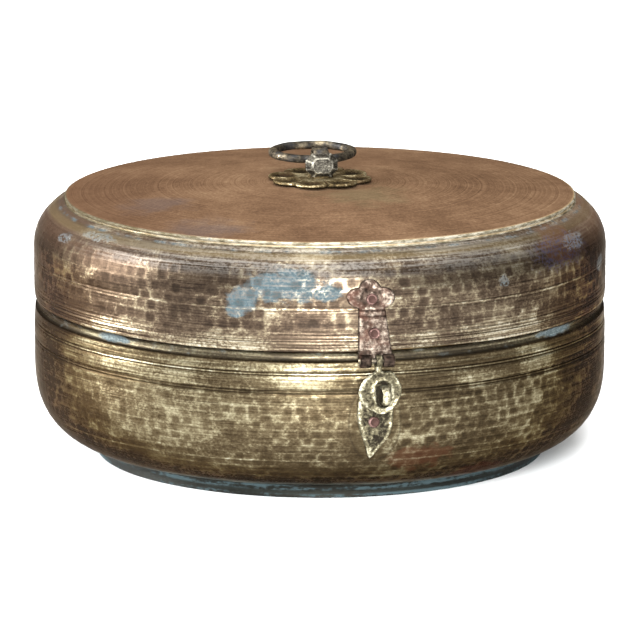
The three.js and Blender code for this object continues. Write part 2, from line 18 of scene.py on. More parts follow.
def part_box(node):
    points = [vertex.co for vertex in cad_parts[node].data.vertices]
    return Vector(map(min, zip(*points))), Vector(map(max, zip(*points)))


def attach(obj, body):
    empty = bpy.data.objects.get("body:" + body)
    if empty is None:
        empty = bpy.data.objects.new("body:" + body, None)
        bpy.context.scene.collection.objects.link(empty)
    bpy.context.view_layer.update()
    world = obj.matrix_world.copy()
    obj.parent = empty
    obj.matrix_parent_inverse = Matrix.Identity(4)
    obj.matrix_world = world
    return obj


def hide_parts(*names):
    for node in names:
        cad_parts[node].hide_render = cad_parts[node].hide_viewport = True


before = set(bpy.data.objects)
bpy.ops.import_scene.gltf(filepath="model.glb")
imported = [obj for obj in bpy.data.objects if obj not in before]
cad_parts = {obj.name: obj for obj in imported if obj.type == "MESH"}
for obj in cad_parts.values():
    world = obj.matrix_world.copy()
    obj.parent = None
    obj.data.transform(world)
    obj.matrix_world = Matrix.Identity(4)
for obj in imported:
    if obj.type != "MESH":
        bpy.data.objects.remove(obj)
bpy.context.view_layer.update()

MM = 0.001

# %% [markdown]
# ## Sizes
#
# The shells repeat the CAD model's own profile, so that the detailed walls lie where the plain ones
# were. Everything is in millimetres until a piece is finished, when it is scaled to metres once.

# %% Sizes of the shells
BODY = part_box("base_bowl")[1].x / MM        # widest radius
WALL = 1.8                                  # thickness of the sheet
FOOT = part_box("foot_ring")[1].x / MM
FOOT_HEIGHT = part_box("foot_ring")[1].z / MM
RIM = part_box("base_bowl")[1].z / MM         # top of the base
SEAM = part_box("lid_shell")[0].z / MM        # lower edge of the lid
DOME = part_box("lid_shell")[1].z / MM        # middle of the top disc
EDGE = BODY - 0.6                           # both walls draw in a little towards the seam
COVE_FOOT, COVE_DEPTH = RIM - 5.3, 1.9      # the hollow moulding under the rim
SHOULDER, SHOULDER_RADIUS = SEAM + 28.4, 26
SHOULDER_CENTRE = BODY - SHOULDER_RADIUS
DISC = BODY - 17.3                          # radius of the top disc
DISC_FOOT = SHOULDER + sqrt(SHOULDER_RADIUS**2 - (DISC - SHOULDER_CENTRE) ** 2)
DISC_EDGE = DISC_FOOT + 3.1                 # the disc stands on a low step
print("body radius", round(BODY, 1), "seam", round(SEAM, 1), "disc edge", round(DISC_EDGE, 1))

# %% [markdown]
# ## Camera
#
# The camera is created first. It stands a little to the left of the hasp and looks down by twelve
# degrees from far away, so the circles of the lid stay almost parallel.

# %% Camera
def direction(azimuth, elevation):
    """The unit vector from the box towards a point round it: azimuth 0 is the front, in degrees."""
    a, e = radians(azimuth), radians(elevation)
    return Vector((sin(a) * cos(e), -cos(a) * cos(e), sin(e)))


def aim(thing, target, azimuth, elevation, distance):
    """Puts a camera or a lamp round the box and turns it to a point."""
    towards = direction(azimuth, elevation)
    thing.location = target + towards * distance
    thing.rotation_mode = "QUATERNION"
    thing.rotation_quaternion = (-towards).to_track_quat("-Z", "Y")


def add_to_scene(name, data):
    """An object that shows a mesh, a lamp or a camera."""
    thing = bpy.data.objects.new(name, data)
    bpy.context.scene.collection.objects.link(thing)
    return thing


CAMERA_TURN, CAMERA_RISE, CAMERA_DISTANCE = -10.65, 12.1, 3.306
LOOKED_AT = Vector((0, 0, 0.0713))
camera = add_to_scene("camera", bpy.data.cameras.new("camera"))
camera.data.sensor_width, camera.data.lens = 36, 334.5
camera.data.clip_start, camera.data.clip_end = 0.1, 60
aim(camera, LOOKED_AT, CAMERA_TURN, CAMERA_RISE, CAMERA_DISTANCE)
bpy.context.scene.camera = camera
print("camera at", [round(c, 3) for c in camera.location])

# %% [markdown]
# ## Light
#
# Plain studio light: a bright even surround, one tall soft box beside the camera, one at the left,
# and a wide one overhead. The two tall boxes give a brass wall its two upright streaks of light.

# %% Surround and soft boxes
bpy.context.scene.view_settings.view_transform = "Standard"
LIT = Vector((0, 0, 0.08))
COOL, WHITE = (0.96, 0.98, 1), (1, 1, 1)


def soft_box(name, azimuth, elevation, distance, size, watts, tint):
    """A rectangular lamp aimed at the box; its size is width and height in metres."""
    lamp = add_to_scene(name, bpy.data.lights.new(name, "AREA"))
    lamp.data.shape, (lamp.data.size, lamp.data.size_y) = "RECTANGLE", size
    lamp.data.energy, lamp.data.color = watts, tint
    aim(lamp, LIT, azimuth, elevation, distance)


world = bpy.data.worlds.new("studio")
bpy.context.scene.world = world
world.use_nodes = True
surround = world.node_tree.nodes["Background"]
surround.inputs["Color"].default_value = (1, 0.985, 0.96, 1)
# dim at the level of the floor and bright overhead, as a room with a lit ceiling
sky = world.node_tree.nodes.new("ShaderNodeTexCoord")
split = world.node_tree.nodes.new("ShaderNodeSeparateXYZ")
rise = world.node_tree.nodes.new("ShaderNodeMapRange")
rise.inputs["From Min"].default_value, rise.inputs["From Max"].default_value = -0.05, 0.9
rise.inputs["To Min"].default_value, rise.inputs["To Max"].default_value = 0.06, 0.8
world.node_tree.links.new(sky.outputs["Generated"], split.inputs[0])
world.node_tree.links.new(split.outputs["Z"], rise.inputs["Value"])
world.node_tree.links.new(rise.outputs["Result"], surround.inputs["Strength"])

soft_box("front_box", CAMERA_TURN + 3, 16, 2.0, (0.55, 1.3), 135, COOL)
soft_box("left_box", CAMERA_TURN - 88, 18, 1.8, (0.16, 1.3), 100, COOL)
soft_box("overhead_box", CAMERA_TURN, 84, 2.2, (2.2, 2.2), 62, WHITE)

# %% [markdown]
# ## Shading with expressions
#
# A material is a graph of nodes. Writing it as Python expressions is shorter and easier to read:
# `Value` wraps a socket, its operators add Math nodes, and `Finish` is one material with a method
# that adds any other node. All lengths inside a finish are millimetres on Object coordinates, so a
# pattern stays where it is when the lid swings up.

# %% Value and Finish
class Value:
    """A socket that Python can calculate with."""

    def __init__(self, finish, socket):
        self.finish, self.socket = finish, socket

    def calculate(self, operation, first, second):
        return self.finish.node("ShaderNodeMath", {"operation": operation}, {0: first, 1: second})

    def __add__(self, other):
        return self.calculate("ADD", self, other)

    def __sub__(self, other):
        return self.calculate("SUBTRACT", self, other)

    def __rsub__(self, other):
        return self.calculate("SUBTRACT", other, self)

    def __mul__(self, other):
        return self.calculate("MULTIPLY", self, other)

    def __truediv__(self, other):
        return self.calculate("DIVIDE", self, other)

    def __pow__(self, other):
        return self.calculate("POWER", self, other)

    def over(self, other):
        """The larger of two values."""
        return self.calculate("MAXIMUM", self, other)

    __radd__, __rmul__ = __add__, __mul__


def colour(red, green, blue):
    """A colour from 0 to 255 as a screen shows it, as the linear colour that nodes take."""
    shown = np.array([red, green, blue]) / 255
    linear = np.where(shown <= 0.04045, shown / 12.92, ((shown + 0.055) / 1.055) ** 2.4)
    return (*linear.tolist(), 1)


class Finish:
    """One procedural material."""

    def __init__(self, name):
        self.material = bpy.data.materials.new(name)
        self.material.use_nodes = True
        self.tree = self.material.node_tree
        self.tree.nodes.clear()
        object_place = self.node("ShaderNodeTexCoord", output="Object")
        self.place = self.scaled(object_place, (1 / MM,) * 3)
        self.x, self.y, self.z = (
            self.node("ShaderNodeSeparateXYZ", {}, {0: self.place}, axis) for axis in range(3)
        )
        self.radius = (self.x * self.x + self.y * self.y) ** 0.5

    def node(self, kind, settings=(), inputs=(), output=0):
        """Adds a node: its settings are set first, then its sockets are filled or linked."""
        made = self.tree.nodes.new(kind)
        for key, setting in dict(settings).items():
            if key == "stops":
                ramp = made.color_ramp.elements
                while len(ramp) < len(setting):
                    ramp.new(0.5)
                for element, (position, shade) in zip(ramp, setting):
                    element.position, element.color = position, shade
            else:
                setattr(made, key, setting)
        for key, given in dict(inputs).items():
            if isinstance(given, Value):
                self.tree.links.new(given.socket, made.inputs[key])
            else:
                made.inputs[key].default_value = given
        return Value(self, made.outputs[output])

    def scaled(self, vector, factors):
        """A vector with each part multiplied by its own factor."""
        return self.node("ShaderNodeVectorMath", {"operation": "MULTIPLY"}, {0: vector, 1: factors})

    def attribute(self, name):
        """A number that the piece's mesh carries at its vertices."""
        return self.node("ShaderNodeAttribute", {"attribute_name": name}, {}, "Fac")

    def noise(self, across, along=None, detail=3.0, rough=0.55, shift=0.0):
        """Noise with features about `across` mm wide, and `along` mm high if that differs."""
        sizes = (1 / across, 1 / across, 1 / (along or across))
        point = self.scaled(self.place, sizes)
        if shift:
            point = self.node("ShaderNodeVectorMath", {"operation": "ADD"}, {0: point, 1: (shift,) * 3})
        settings = {"Vector": point, "Scale": 1.0, "Detail": detail, "Roughness": rough}
        return self.node("ShaderNodeTexNoise", {}, settings, "Fac")

    def rings(self, pitch, detail=3.0, shift=0.0):
        """Noise that depends only on the distance from the middle, as a lathe tool leaves it."""
        settings = {"W": self.radius / pitch + shift, "Scale": 1.0, "Detail": detail}
        return self.node("ShaderNodeTexNoise", {"noise_dimensions": "1D"}, settings, "Fac")

    def step(self, value, low, high):
        """0 below low, 1 above high and smooth between."""
        inputs = {"Value": value, "From Min": low, "From Max": high}
        return self.node("ShaderNodeMapRange", {"interpolation_type": "SMOOTHSTEP"}, inputs)

    def line(self, value, middle, half):
        """1 at the middle of a narrow band, 0 outside it."""
        away = self.node("ShaderNodeMath", {"operation": "ABSOLUTE"}, {0: value - middle})
        return 1 - self.step(away, half * 0.35, half)

    def lines_at(self, value, *lines):
        """1 in the middle of any of some narrow bands, each given as (middle, half width)."""
        shown = self.line(value, *lines[0])
        for middle, half in lines[1:]:
            shown = shown.over(self.line(value, middle, half))
        return shown

    def blot(self, ragged, turn, height, radius, width, tall, edge=0.35):
        """A stain with a ragged edge round a point on the wall: turn is degrees from the front."""
        centre = (radius * sin(radians(turn)), -radius * cos(radians(turn)), height)
        away = self.node("ShaderNodeVectorMath", {"operation": "SUBTRACT"}, {0: self.place, 1: centre})
        away = self.scaled(away, (1 / width, 1 / width, 1 / tall))
        away = self.node("ShaderNodeVectorMath", {"operation": "LENGTH"}, {0: away}, "Value")
        return 1 - self.step(away + (ragged - 0.5) * 1.6, 1 - edge, 1)

    def blots(self, ragged, *places):
        """Several stains as one: each place is (turn, height, radius, width, tall)."""
        shown = self.blot(ragged, *places[0])
        for place in places[1:]:
            shown = shown.over(self.blot(ragged, *place))
        return shown

    def mix(self, share, first, second):
        """The first colour where share is 0, the second where it is 1."""
        return self.node("ShaderNodeMix", {"data_type": "RGBA"}, {0: share, 6: first, 7: second}, 2)

    def ramp(self, value, *stops):
        """A colour for each value, from (value, colour) stops."""
        return self.node("ShaderNodeValToRGB", {"stops": stops}, {0: value})

    def surface(self, sockets):
        """Joins the shader to the material's output."""
        shader = self.node("ShaderNodeBsdfPrincipled", {}, sockets)
        output = self.tree.nodes.new("ShaderNodeOutputMaterial")
        self.tree.links.new(shader.socket, output.inputs["Surface"])
        return self.material

    def metal(self, tint, roughness, metallic, height, depth, **fixed):
        """Old metal, which stays dark where light grazes it; height is bump, depth its millimetres."""
        bump = self.node("ShaderNodeBump", {}, {"Height": height, "Distance": depth * MM, "Strength": 1.0})
        return self.surface({"Base Color": tint, "Roughness": roughness, "Metallic": metallic,
                             "Specular Tint": colour(150, 138, 120), "Normal": bump, **fixed})


# %% [markdown]
# ## Floor
#
# A plain pale floor, so that the box stands on something and throws a soft shadow.

# %% Floor
floor_finish = Finish("pale_floor")
pale = floor_finish.mix(floor_finish.noise(300), colour(248, 248, 247), colour(252, 252, 251))
floor_mesh = bpy.data.meshes.new("floor")
floor_bm = bmesh.new()
bmesh.ops.create_grid(floor_bm, x_segments=1, y_segments=1, size=9)
floor_bm.to_mesh(floor_mesh)
floor_bm.free()
floor_skin = floor_finish.surface({"Base Color": pale, "Roughness": 0.9, "Metallic": 0.0})
floor_mesh.materials.append(floor_skin)
add_to_scene("floor", floor_mesh)

# %% [markdown]
# ## Brass of the beaten walls
#
# The sides and back are painted in shade, and the front a little lighter, as the light falls. The
# bottoms of the hammer marks stay brown, the ridges between them are rubbed to gold, and the lathe
# leaves fine level lines over both. The walls carry an attribute, `hollow`, with the depth of the
# hammer marks, and the finish reads it. Lid and base are two finishes with the same wear and the
# same painted shade, so one class holds what they share.

# %% Brass of the walls
VERDIGRIS, PALE_VERDIGRIS, DEEP_VERDIGRIS = colour(48, 63, 68), colour(78, 91, 97), colour(32, 42, 43)


class BeatenBrass(Finish):
    """What the finishes of lid and base share: their noises, how far the skin is worn, and painted light on the
    front.
    """

    def __init__(self, name, wear_bias, lined_low, lined_high, beaten):
        super().__init__(name)
        self.hollow, self.inside = self.attribute("hollow"), self.attribute("inside")
        self.lines = self.noise(60, 1.1, 4, 0.65)
        self.fine_lines = self.noise(35, 0.45, 3, 0.6, 7)
        self.cloud = self.noise(34, 22, 3, 0.6, 3)
        self.speck = self.noise(1.6, 1.2, 3, 0.6, 11)
        # the lathe's lines are strongest in a band of heights; the second mask is 1 at the front, which gets
        # painted light, and 0 at the sides and back, which skin paints in shade
        lined = self.step(self.z, lined_low, lined_high)
        self.front_lit = self.step(self.y, -10, -140)
        patchy = self.step(self.cloud + (self.speck - 0.5) * 0.4 + wear_bias, 0.42, 0.62)
        thin = self.step(self.fine_lines, 0.44, 0.32)
        marked = ((0.7 - self.hollow) * patchy * 1.5 - self.hollow) * beaten
        turned_lines = (self.lines - 0.5) * (lined * 0.5 + 0.55) - thin * (lined * 0.12 + 0.2)
        grain = (self.speck - 0.5) * 0.55 + (self.cloud - 0.5) * 0.4
        # the last term paints a little light on the front of the box
        self.wear = 0.33 + marked + turned_lines + grain + self.front_lit * 0.06

    def skin(self, wear, *shades):
        """The colour for each degree of wear, with painted shade darkening the sides and back."""
        # painted shade: below the shoulder the sides and back are mixed towards dark brown
        side_shade = (1 - self.front_lit) * (1 - self.step(self.z, 116, 130))
        return self.mix(side_shade * 0.42, self.ramp(wear, *shades), colour(44, 30, 18))

    def crust(self, streaks, low, high):
        """Verdigris, paler in streaks along the lathe's lines."""
        streaked = self.step(self.speck + (self.lines - 0.5) * streaks, low, high)
        return self.mix(streaked, VERDIGRIS, PALE_VERDIGRIS)

    def lined(self, tint, wear):
        """The lining, cleaner than the outside, where the mesh says that it is inside."""
        lining = self.ramp(wear, (0.1, colour(70, 54, 34)), (0.4, colour(118, 97, 62)),
                           (0.8, colour(158, 136, 92)))
        return self.mix(self.inside, tint, lining)

    def roughness(self, wear, green):
        """Rubbed brass is smoother, and verdigris is dull."""
        return 0.42 - self.step(wear, 0.2, 0.9) * 0.12 + green * 0.3


# %% [markdown]
# ## Finish of the lid's wall
#
# Brown brass with rubbed ridges, a pale patch along the shoulder's front that is partly a painted
# highlight and partly a dull haze, and verdigris in a few places: a large patch left of the hasp
# and small ones round the shoulder. Each is a ragged blot round a point of the wall, broken up by
# the same noises as the wear.

# %% Lid's wall
LID_RIDGES = [(95.4, 0.7), (110.4, 0.6), (88.6, 0.9), (134.4, 0.5), (92.2, 0.5)]
LID_PATCH = [(-17.5, 123.2, 157, 24, 10.5), (-25.5, 116, 158, 10, 9), (-27, 108.5, 158, 6, 4),
             (-9.5, 119.5, 158, 9, 5.5)]
LID_SPOTS = [(-75, 131.5, 155, 9, 3.4), (-64, 136, 152, 18, 2.4), (27.7, 118.7, 158, 4, 4),
             (52.4, 130.6, 155, 13, 5.5), (64.5, 112.5, 158, 9, 6)]


def lid_wall_finish():
    """Beaten brass of the lid, with its verdigris."""
    brass = BeatenBrass("beaten_lid_brass", 0.0, 106, 92, 0.24)
    z, lines, speck = brass.z, brass.lines, brass.speck
    band, high = brass.step(z, 138.9, 139.8), brass.step(z, 128, 136)
    # band pales the worn strip under the disc's step, and high adds a faint painted highlight along the
    # shoulder
    wear = brass.wear + brass.lines_at(z, *LID_RIDGES) * 0.12 + band * 0.1 + high * 0.03
    tint = brass.skin(wear, (0.05, colour(33, 27, 22)), (0.3, colour(57, 47, 38)), (0.5, colour(80, 69, 56)),
                      (0.7, colour(115, 105, 86)), (0.92, colour(168, 162, 145)))
    # the shoulder's front gets a pale patch, partly a painted highlight and partly a dull haze, streaked by the
    # lathe's lines
    haze_and_sheen = brass.step(z, 125, 132) * brass.step(lines + (speck - 0.5) * 0.5, 0.38, 0.6) * brass.front_lit
    tint = brass.mix(haze_and_sheen * 0.5, tint, colour(122, 119, 114))
    # off the front the shoulder is bare and brown, darkest on the left
    flank = brass.step(z, 120, 132) * (1 - brass.front_lit)
    bare = brass.mix(brass.step(brass.x, 40, -60), colour(128, 94, 68), colour(70, 50, 36))
    tint = brass.mix(flank * 0.6, tint, bare)
    tint = brass.mix(brass.line(z, 136.9, 2.4) * 0.35, tint, colour(98, 85, 56))
    rust = brass.blot(brass.noise(9, 9, 3, 0.6, 5), 47, 132.8, 155, 22, 14)
    tint = brass.mix(rust * 0.4, tint, colour(106, 74, 54))
    plum = brass.blot(brass.noise(9, 9, 3, 0.6, 31), 46, 127, 156, 30, 11) * brass.step(speck, 0.46, 0.6)
    tint = brass.mix(plum * 0.7, tint, colour(70, 68, 92))
    green = lid_verdigris(brass)
    crust = brass.mix(brass.step(brass.hollow, 0.3, 0.9) * 0.5, brass.crust(0.9, 0.38, 0.66), DEEP_VERDIGRIS)
    tint = brass.lined(brass.mix(green, tint, crust), wear)
    height = lines * 0.5 + brass.fine_lines * 0.35 + speck * 0.3 + green * 0.5
    metallic = 0.94 - green * 0.84 - (high * 0.24 + flank * 0.25) * (1 - green)
    return brass.metal(tint, brass.roughness(wear, green), metallic, height, 0.16)


def lid_verdigris(brass):
    """How much verdigris lies on each place of the lid's wall."""
    z, lines, speck = brass.z, brass.lines, brass.speck
    ragged = brass.noise(9, 7, 4, 0.65, 21)
    spots = brass.blots(ragged, *LID_SPOTS) * brass.step(speck + (lines - 0.5) * 0.5, 0.42, 0.56)
    groove = brass.line(z, 138.9, 0.8) * brass.step(ragged, 0.45, 0.62)
    band = brass.step(z, 138.6, 139.6) * brass.step(ragged, 0.58, 0.7)
    green = brass.blots(ragged, *LID_PATCH).over(spots * 0.9).over(groove * 0.8).over(band * 0.8)
    return green * (0.92 - brass.step(lines + (speck - 0.5) * 0.9, 0.46, 0.62) * 0.5)


LID_WALL = lid_wall_finish()
print("lid's wall:", len(LID_WALL.node_tree.nodes), "nodes")

# %% [markdown]
# ## Finish of the base's wall
#
# The base is more olive than the lid and darker towards the foot. Scored lines hold dirt, two
# patches are bare and copper-red, and a dark outline runs round the leaf of the staple, where
# polish never reaches. A little verdigris sits at the seam and at the foot.

# %% Base's wall
BASE_SCORES = [(76.1, 0.5), (74.6, 0.45), (66.2, 0.5), (64.8, 0.45), (82.2, 1.2)]
SEAM_SPOTS = [(-56, 85.2, 157, 14, 2.8), (44, 85.2, 157, 20, 2.8)]
LEAF_MIDDLE, LEAF_HALF_WIDE, LEAF_HALF_TALL = 49, 13.5, 21


def base_wall_finish():
    """Beaten brass of the base."""
    brass = BeatenBrass("beaten_base_brass", 0.04, 52, 66, 0.18)
    z, lines, speck = brass.z, brass.lines, brass.speck
    cove = brass.step(z, 81.9, 83.2)
    wear = brass.wear + brass.lines_at(z, (27, 0.7), (75.4, 0.4)) * 0.15 - brass.step(z, 34, 10) * 0.08
    wear = wear - brass.lines_at(z, *BASE_SCORES) * (0.2 + lines * 0.3)
    tint = brass.skin(wear, (0.05, colour(32, 26, 17)), (0.3, colour(56, 47, 33)), (0.5, colour(80, 71, 53)),
                      (0.7, colour(120, 113, 91)), (0.92, colour(180, 177, 160)))
    tint = brass.mix(cove * 0.35, tint, colour(70, 66, 58))
    tint = brass.mix(brass.step(z, 50, 12) * 0.3, tint, colour(44, 34, 22))
    copper_red = brass.blot(brass.noise(9, 6, 3, 0.6, 5), 9, 28, 150, 20, 9)
    copper_red = copper_red.over(brass.blot(brass.noise(9, 6, 3, 0.6, 9), 26, 14, 136, 22, 7))
    tint = brass.mix(copper_red * 0.42, tint, colour(70, 40, 28))
    # the dark outline round the staple's leaf, and the shade within it
    across, upright = brass.x / LEAF_HALF_WIDE, (z - LEAF_MIDDLE) / LEAF_HALF_TALL
    away = (across * across + upright * upright) ** 0.5
    front = brass.step(brass.y, -80, -120)
    tint = brass.mix((1 - brass.step(away, 0.85, 1.12)) * front * 0.3, tint, colour(52, 44, 30))
    tint = brass.mix(brass.line(away, 1.04, 0.06) * front * 0.4, tint, colour(34, 28, 20))

    ragged = brass.noise(8, 5, 4, 0.65, 21)
    at_foot = brass.step(z, 12.5, 8.5) * brass.step(ragged, 0.35, 0.5)
    green = brass.blots(ragged, *SEAM_SPOTS).over(cove * brass.step(ragged, 0.56, 0.7) * 0.5)
    green = green.over(at_foot * 0.8) * (1 - brass.inside)
    crust = brass.mix(brass.step(z, 30, 12) * 0.75, brass.crust(0.6, 0.4, 0.7), colour(48, 66, 66))
    tint = brass.lined(brass.mix(green * 0.75, tint, crust), wear)
    height = lines * 0.6 + brass.fine_lines * 0.4 + speck * 0.25 + green * 0.4
    return brass.metal(tint, brass.roughness(wear, green), 0.94 - green * 0.84, height, 0.18)


BASE_WALL = base_wall_finish()
print("base's wall:", len(BASE_WALL.node_tree.nodes), "nodes")

# %% [markdown]
# ## Finish of the lid's disc
#
# The disc was turned and never beaten, so its noises depend on the distance from the middle, as a
# lathe tool leaves them. It is more coppery than the walls. The upright step at its edge is rubbed
# pale, and verdigris is caught in it. Its left side is painted darker as shade, and a pale line
# along its rim is a painted highlight.

# %% Lid's top disc
def disc_finish():
    """Turned, coppery brass of the disc."""
    brass = Finish("turned_disc_brass")
    fine, broad, mid = brass.rings(0.9, 4), brass.rings(5.0, 2, 9), brass.rings(2.2, 2, 31)
    cloud, speck = brass.noise(45, 45, 3, 0.55), brass.noise(1.4, 1.4, 3, 0.6, 4)
    ripple, mottle = brass.noise(3.2, 3.2, 2, 0.5, 13), brass.noise(9, 9, 4, 0.65, 17)
    shade = 0.5 + (fine - 0.5) * 0.4 + (mid - 0.5) * 0.25 + (cloud - 0.5) * 0.6
    shade = shade + (speck - 0.5) * 0.7 + (mottle - 0.5) * 0.4
    tint = brass.ramp(shade, (0.1, colour(64, 46, 35)), (0.45, colour(99, 76, 57)), (0.62, colour(115, 90, 69)),
                      (0.95, colour(147, 124, 96)))
    ragged = brass.noise(16, 16, 3, 0.6, 2)
    stain = brass.blot(ragged, -70.7, 146.5, 104, 26, 40, 0.8)
    stain = stain.over(brass.blot(ragged, -40, 145.5, 128, 30, 40, 0.8))
    tint = brass.mix(stain * 0.35, tint, colour(78, 78, 84))
    tint = brass.mix(brass.blot(ragged, 20, 149, 44, 34, 40, 0.9) * 0.45, tint, colour(88, 82, 60))
    # painted shade: the disc is darker towards the left, where less light falls
    left = brass.step(brass.x, -40, -130)
    tint = brass.mix(left * 0.45, tint, colour(78, 56, 42))

    side = brass.step(brass.radius, DISC - 1.2, DISC - 0.5)
    edge_tint = brass.ramp(brass.noise(6, 2, 4, 0.65, 8), (0.3, colour(70, 63, 48)),
                           (0.45, colour(112, 105, 88)), (0.6, colour(166, 160, 144)),
                           (0.72, colour(104, 112, 112)))
    # the step's left side gets the same painted shade
    edge_tint = brass.mix(left * 0.8, edge_tint, colour(72, 64, 46))
    tint = brass.mix(side, tint, edge_tint)
    # painted highlight: a pale line along the disc's rounded rim, left out where the disc is in painted shade
    rim_highlight = brass.line(brass.radius, DISC - 1.0, 0.6)
    tint = brass.mix(rim_highlight * (1 - left) * 0.4, tint, colour(176, 152, 114))
    lining = brass.ramp(shade, (0.2, colour(78, 62, 40)), (0.8, colour(124, 103, 66)))
    tint = brass.mix(brass.attribute("inside"), tint, lining)
    roughness = 0.5 - (fine - 0.5) * 0.2 - side * 0.1
    height = fine * 0.5 + broad * 0.3 + mid * 0.25 + speck * 0.15 + ripple * 0.3
    # a low light opposite mustn't turn the whole disc white, so its non-metal half has no gloss
    return brass.metal(tint, roughness, 0.5, height, 0.1, **{"Specular IOR Level": 0.0})


DISC_TOP = disc_finish()
print("disc:", len(DISC_TOP.node_tree.nodes), "nodes")

# %% [markdown]
# ## Finishes of the fittings
#
# The fittings are cast and cut from sheet, so they have no lathe lines. Their tops are rubbed pale
# and their pits are dark. One helper mixes three shades by height, by noise and by pits, and each
# fitting gives it its own shades. `sunk` says how much darker the hollows of the mesh are.

# %% Fittings
def fitting_finish(name, dark, middle, pale, pit=0.5, grain=1.3, roughness=0.42, tarnish=None, sunk=0.45):
    """Old cast brass in three shades, with patches of tarnish if a colour for them is given."""
    brass = Finish(name)
    cloud, pits = brass.noise(7, 7, 4, 0.6), brass.noise(grain, grain, 4, 0.65, 5)
    scratch = brass.noise(6, 0.5, 3, 0.6, 9)
    relief = brass.attribute("hollow") + brass.attribute("inside")
    wear = 0.55 + (cloud - 0.5) * 1.2 + (pits - 0.5) * pit * 2 + (scratch - 0.5) * 0.4 - relief * sunk
    tint = brass.ramp(wear, (0.12, dark), (0.5, middle), (0.88, pale))
    if tarnish:
        tint = brass.mix(brass.step(brass.noise(11, 9, 3, 0.6, 15), 0.5, 0.68) * 0.6, tint, tarnish)
    height = pits * 0.8 + scratch * 0.3
    return brass.metal(tint, roughness + 0.2 - brass.step(wear, 0.2, 0.9) * 0.25, 0.9, height, 0.32)


WORN_BRASS = fitting_finish("worn_fitting_brass", colour(32, 28, 22), colour(96, 90, 71), colour(198, 192, 168),
                            pit=0.65, grain=1.5, sunk=0.32)
STRAP_BRASS = fitting_finish("pinkish_strap_brass", colour(22, 17, 14), colour(62, 51, 44),
                             colour(142, 130, 117), pit=0.6, grain=2.4, tarnish=colour(68, 46, 38))
ROSE_BRASS = fitting_finish("rose_brass", colour(40, 33, 22), colour(94, 80, 55), colour(204, 190, 154),
                            pit=0.6, tarnish=colour(76, 60, 44), sunk=0.5)
DARK_BRONZE = fitting_finish("dark_bronze", colour(36, 33, 29), colour(88, 80, 67), colour(162, 148, 122),
                             pit=0.6, grain=1.8, tarnish=colour(58, 60, 64), sunk=0.3)
BOSS_BRONZE = fitting_finish("boss_bronze", colour(36, 33, 29), colour(90, 86, 77), colour(172, 168, 154),
                             pit=0.7, grain=0.9, roughness=0.4, sunk=0.28)
COPPER = fitting_finish("copper_rivets", colour(58, 42, 38), colour(118, 93, 87), colour(190, 168, 160),
                        pit=0.25, roughness=0.4, sunk=0.4)
INNER_BRASS = fitting_finish("kitchen_brass", colour(88, 70, 42), colour(142, 119, 75), colour(184, 163, 116),
                             pit=0.25, grain=2.0, roughness=0.36)
print("fittings:", len(INNER_BRASS.node_tree.nodes), "nodes in the plainest")

# %% [markdown]
# ## Finish of the foot ring
#
# The foot stands in whatever is spilt, so it is nearly black, with pale verdigris smeared along its
# upper and its lower edge.

# %% Foot's finish
def foot_finish():
    """A dark ring with pale verdigris along both edges."""
    brass = Finish("verdigris_foot")
    smear, grit = brass.noise(45, 3, 4, 0.6), brass.noise(3, 2, 3, 0.6, 5)
    tint = brass.ramp(smear + (grit - 0.5) * 0.4, (0.3, colour(10, 12, 11)), (0.7, colour(26, 31, 30)))
    edges = brass.lines_at(brass.z, (FOOT_HEIGHT - 1.4, 2.2), (0.8, 1.6))
    pale = edges * brass.step(smear + (grit - 0.5) * 0.5, 0.44, 0.6)
    tint = brass.mix(pale * 0.65, tint, colour(70, 86, 90))
    return brass.metal(tint, 0.55 + pale * 0.3, 0.35, smear * 0.5 + grit, 0.25)


FOOT_FINISH = foot_finish()
print("finishes:", len(bpy.data.materials))

# %% [markdown]
# ## Turning an outline
#
# Most pieces of the box are round, so an outline is drawn beside the axis and spun. Each point may
# carry two numbers along: `inside` marks the lining, and `along` is the way travelled on the outline,
# which the hammer marks need. A full spin merges its last ring with its first.

# %% Outline helpers
def turned(outline, steps):
    """A bmesh of an outline turned round z: (radius, height[, inside]) points, joined in a loop."""
    bm = bmesh.new()
    inside_layer = bm.verts.layers.float.new("inside")
    along_layer = bm.verts.layers.float.new("along")
    travelled, before, wire = 0.0, outline[0], []
    for point in outline:
        travelled += hypot(point[0] - before[0], point[1] - before[1])
        vert = bm.verts.new((point[0], 0, point[1]))
        vert[inside_layer] = point[2] if len(point) > 2 else 0.0
        vert[along_layer] = travelled
        wire.append(vert)
        before = point
    for first, second in zip(wire, wire[1:]):
        bm.edges.new((first, second))
    if outline[0][0] > 0 or outline[-1][0] > 0:
        bm.edges.new((wire[-1], wire[0]))
    sectors = 1
    while steps % (2 * sectors) == 0 and steps // sectors > 50:
        sectors *= 2
    bmesh.ops.spin(bm, geom=bm.verts[:] + bm.edges[:], cent=(0, 0, 0), axis=(0, 0, 1),
                   angle=tau / sectors, steps=steps // sectors, use_merge=sectors == 1)
    covered = tau / sectors
    while sectors > 1:
        copied = bmesh.ops.duplicate(bm, geom=bm.verts[:] + bm.edges[:] + bm.faces[:])
        bmesh.ops.rotate(bm, cent=(0, 0, 0), matrix=Matrix.Rotation(covered, 3, "Z"),
                         verts=[v for v in copied["geom"] if isinstance(v, bmesh.types.BMVert)])
        covered, sectors = covered * 2, sectors // 2
    return bm


def arc(centre, radius, start, end, steps, inside=0.0):
    """Points of an arc for an outline, angles in degrees from the radial direction."""
    return [(centre[0] + radius * cos(radians(a)), centre[1] + radius * sin(radians(a)), inside)
            for a in np.linspace(start, end, steps + 1)]


def turn_to(bm, axis, place=(0, 0, 0)):
    """Lays a piece that was made along z along another axis, and moves it into place."""
    turn = Vector((0, 0, 1)).rotation_difference(Vector(axis)).to_matrix().to_4x4()
    bmesh.ops.transform(bm, matrix=Matrix.Translation(place) @ turn, verts=bm.verts)
    return bm


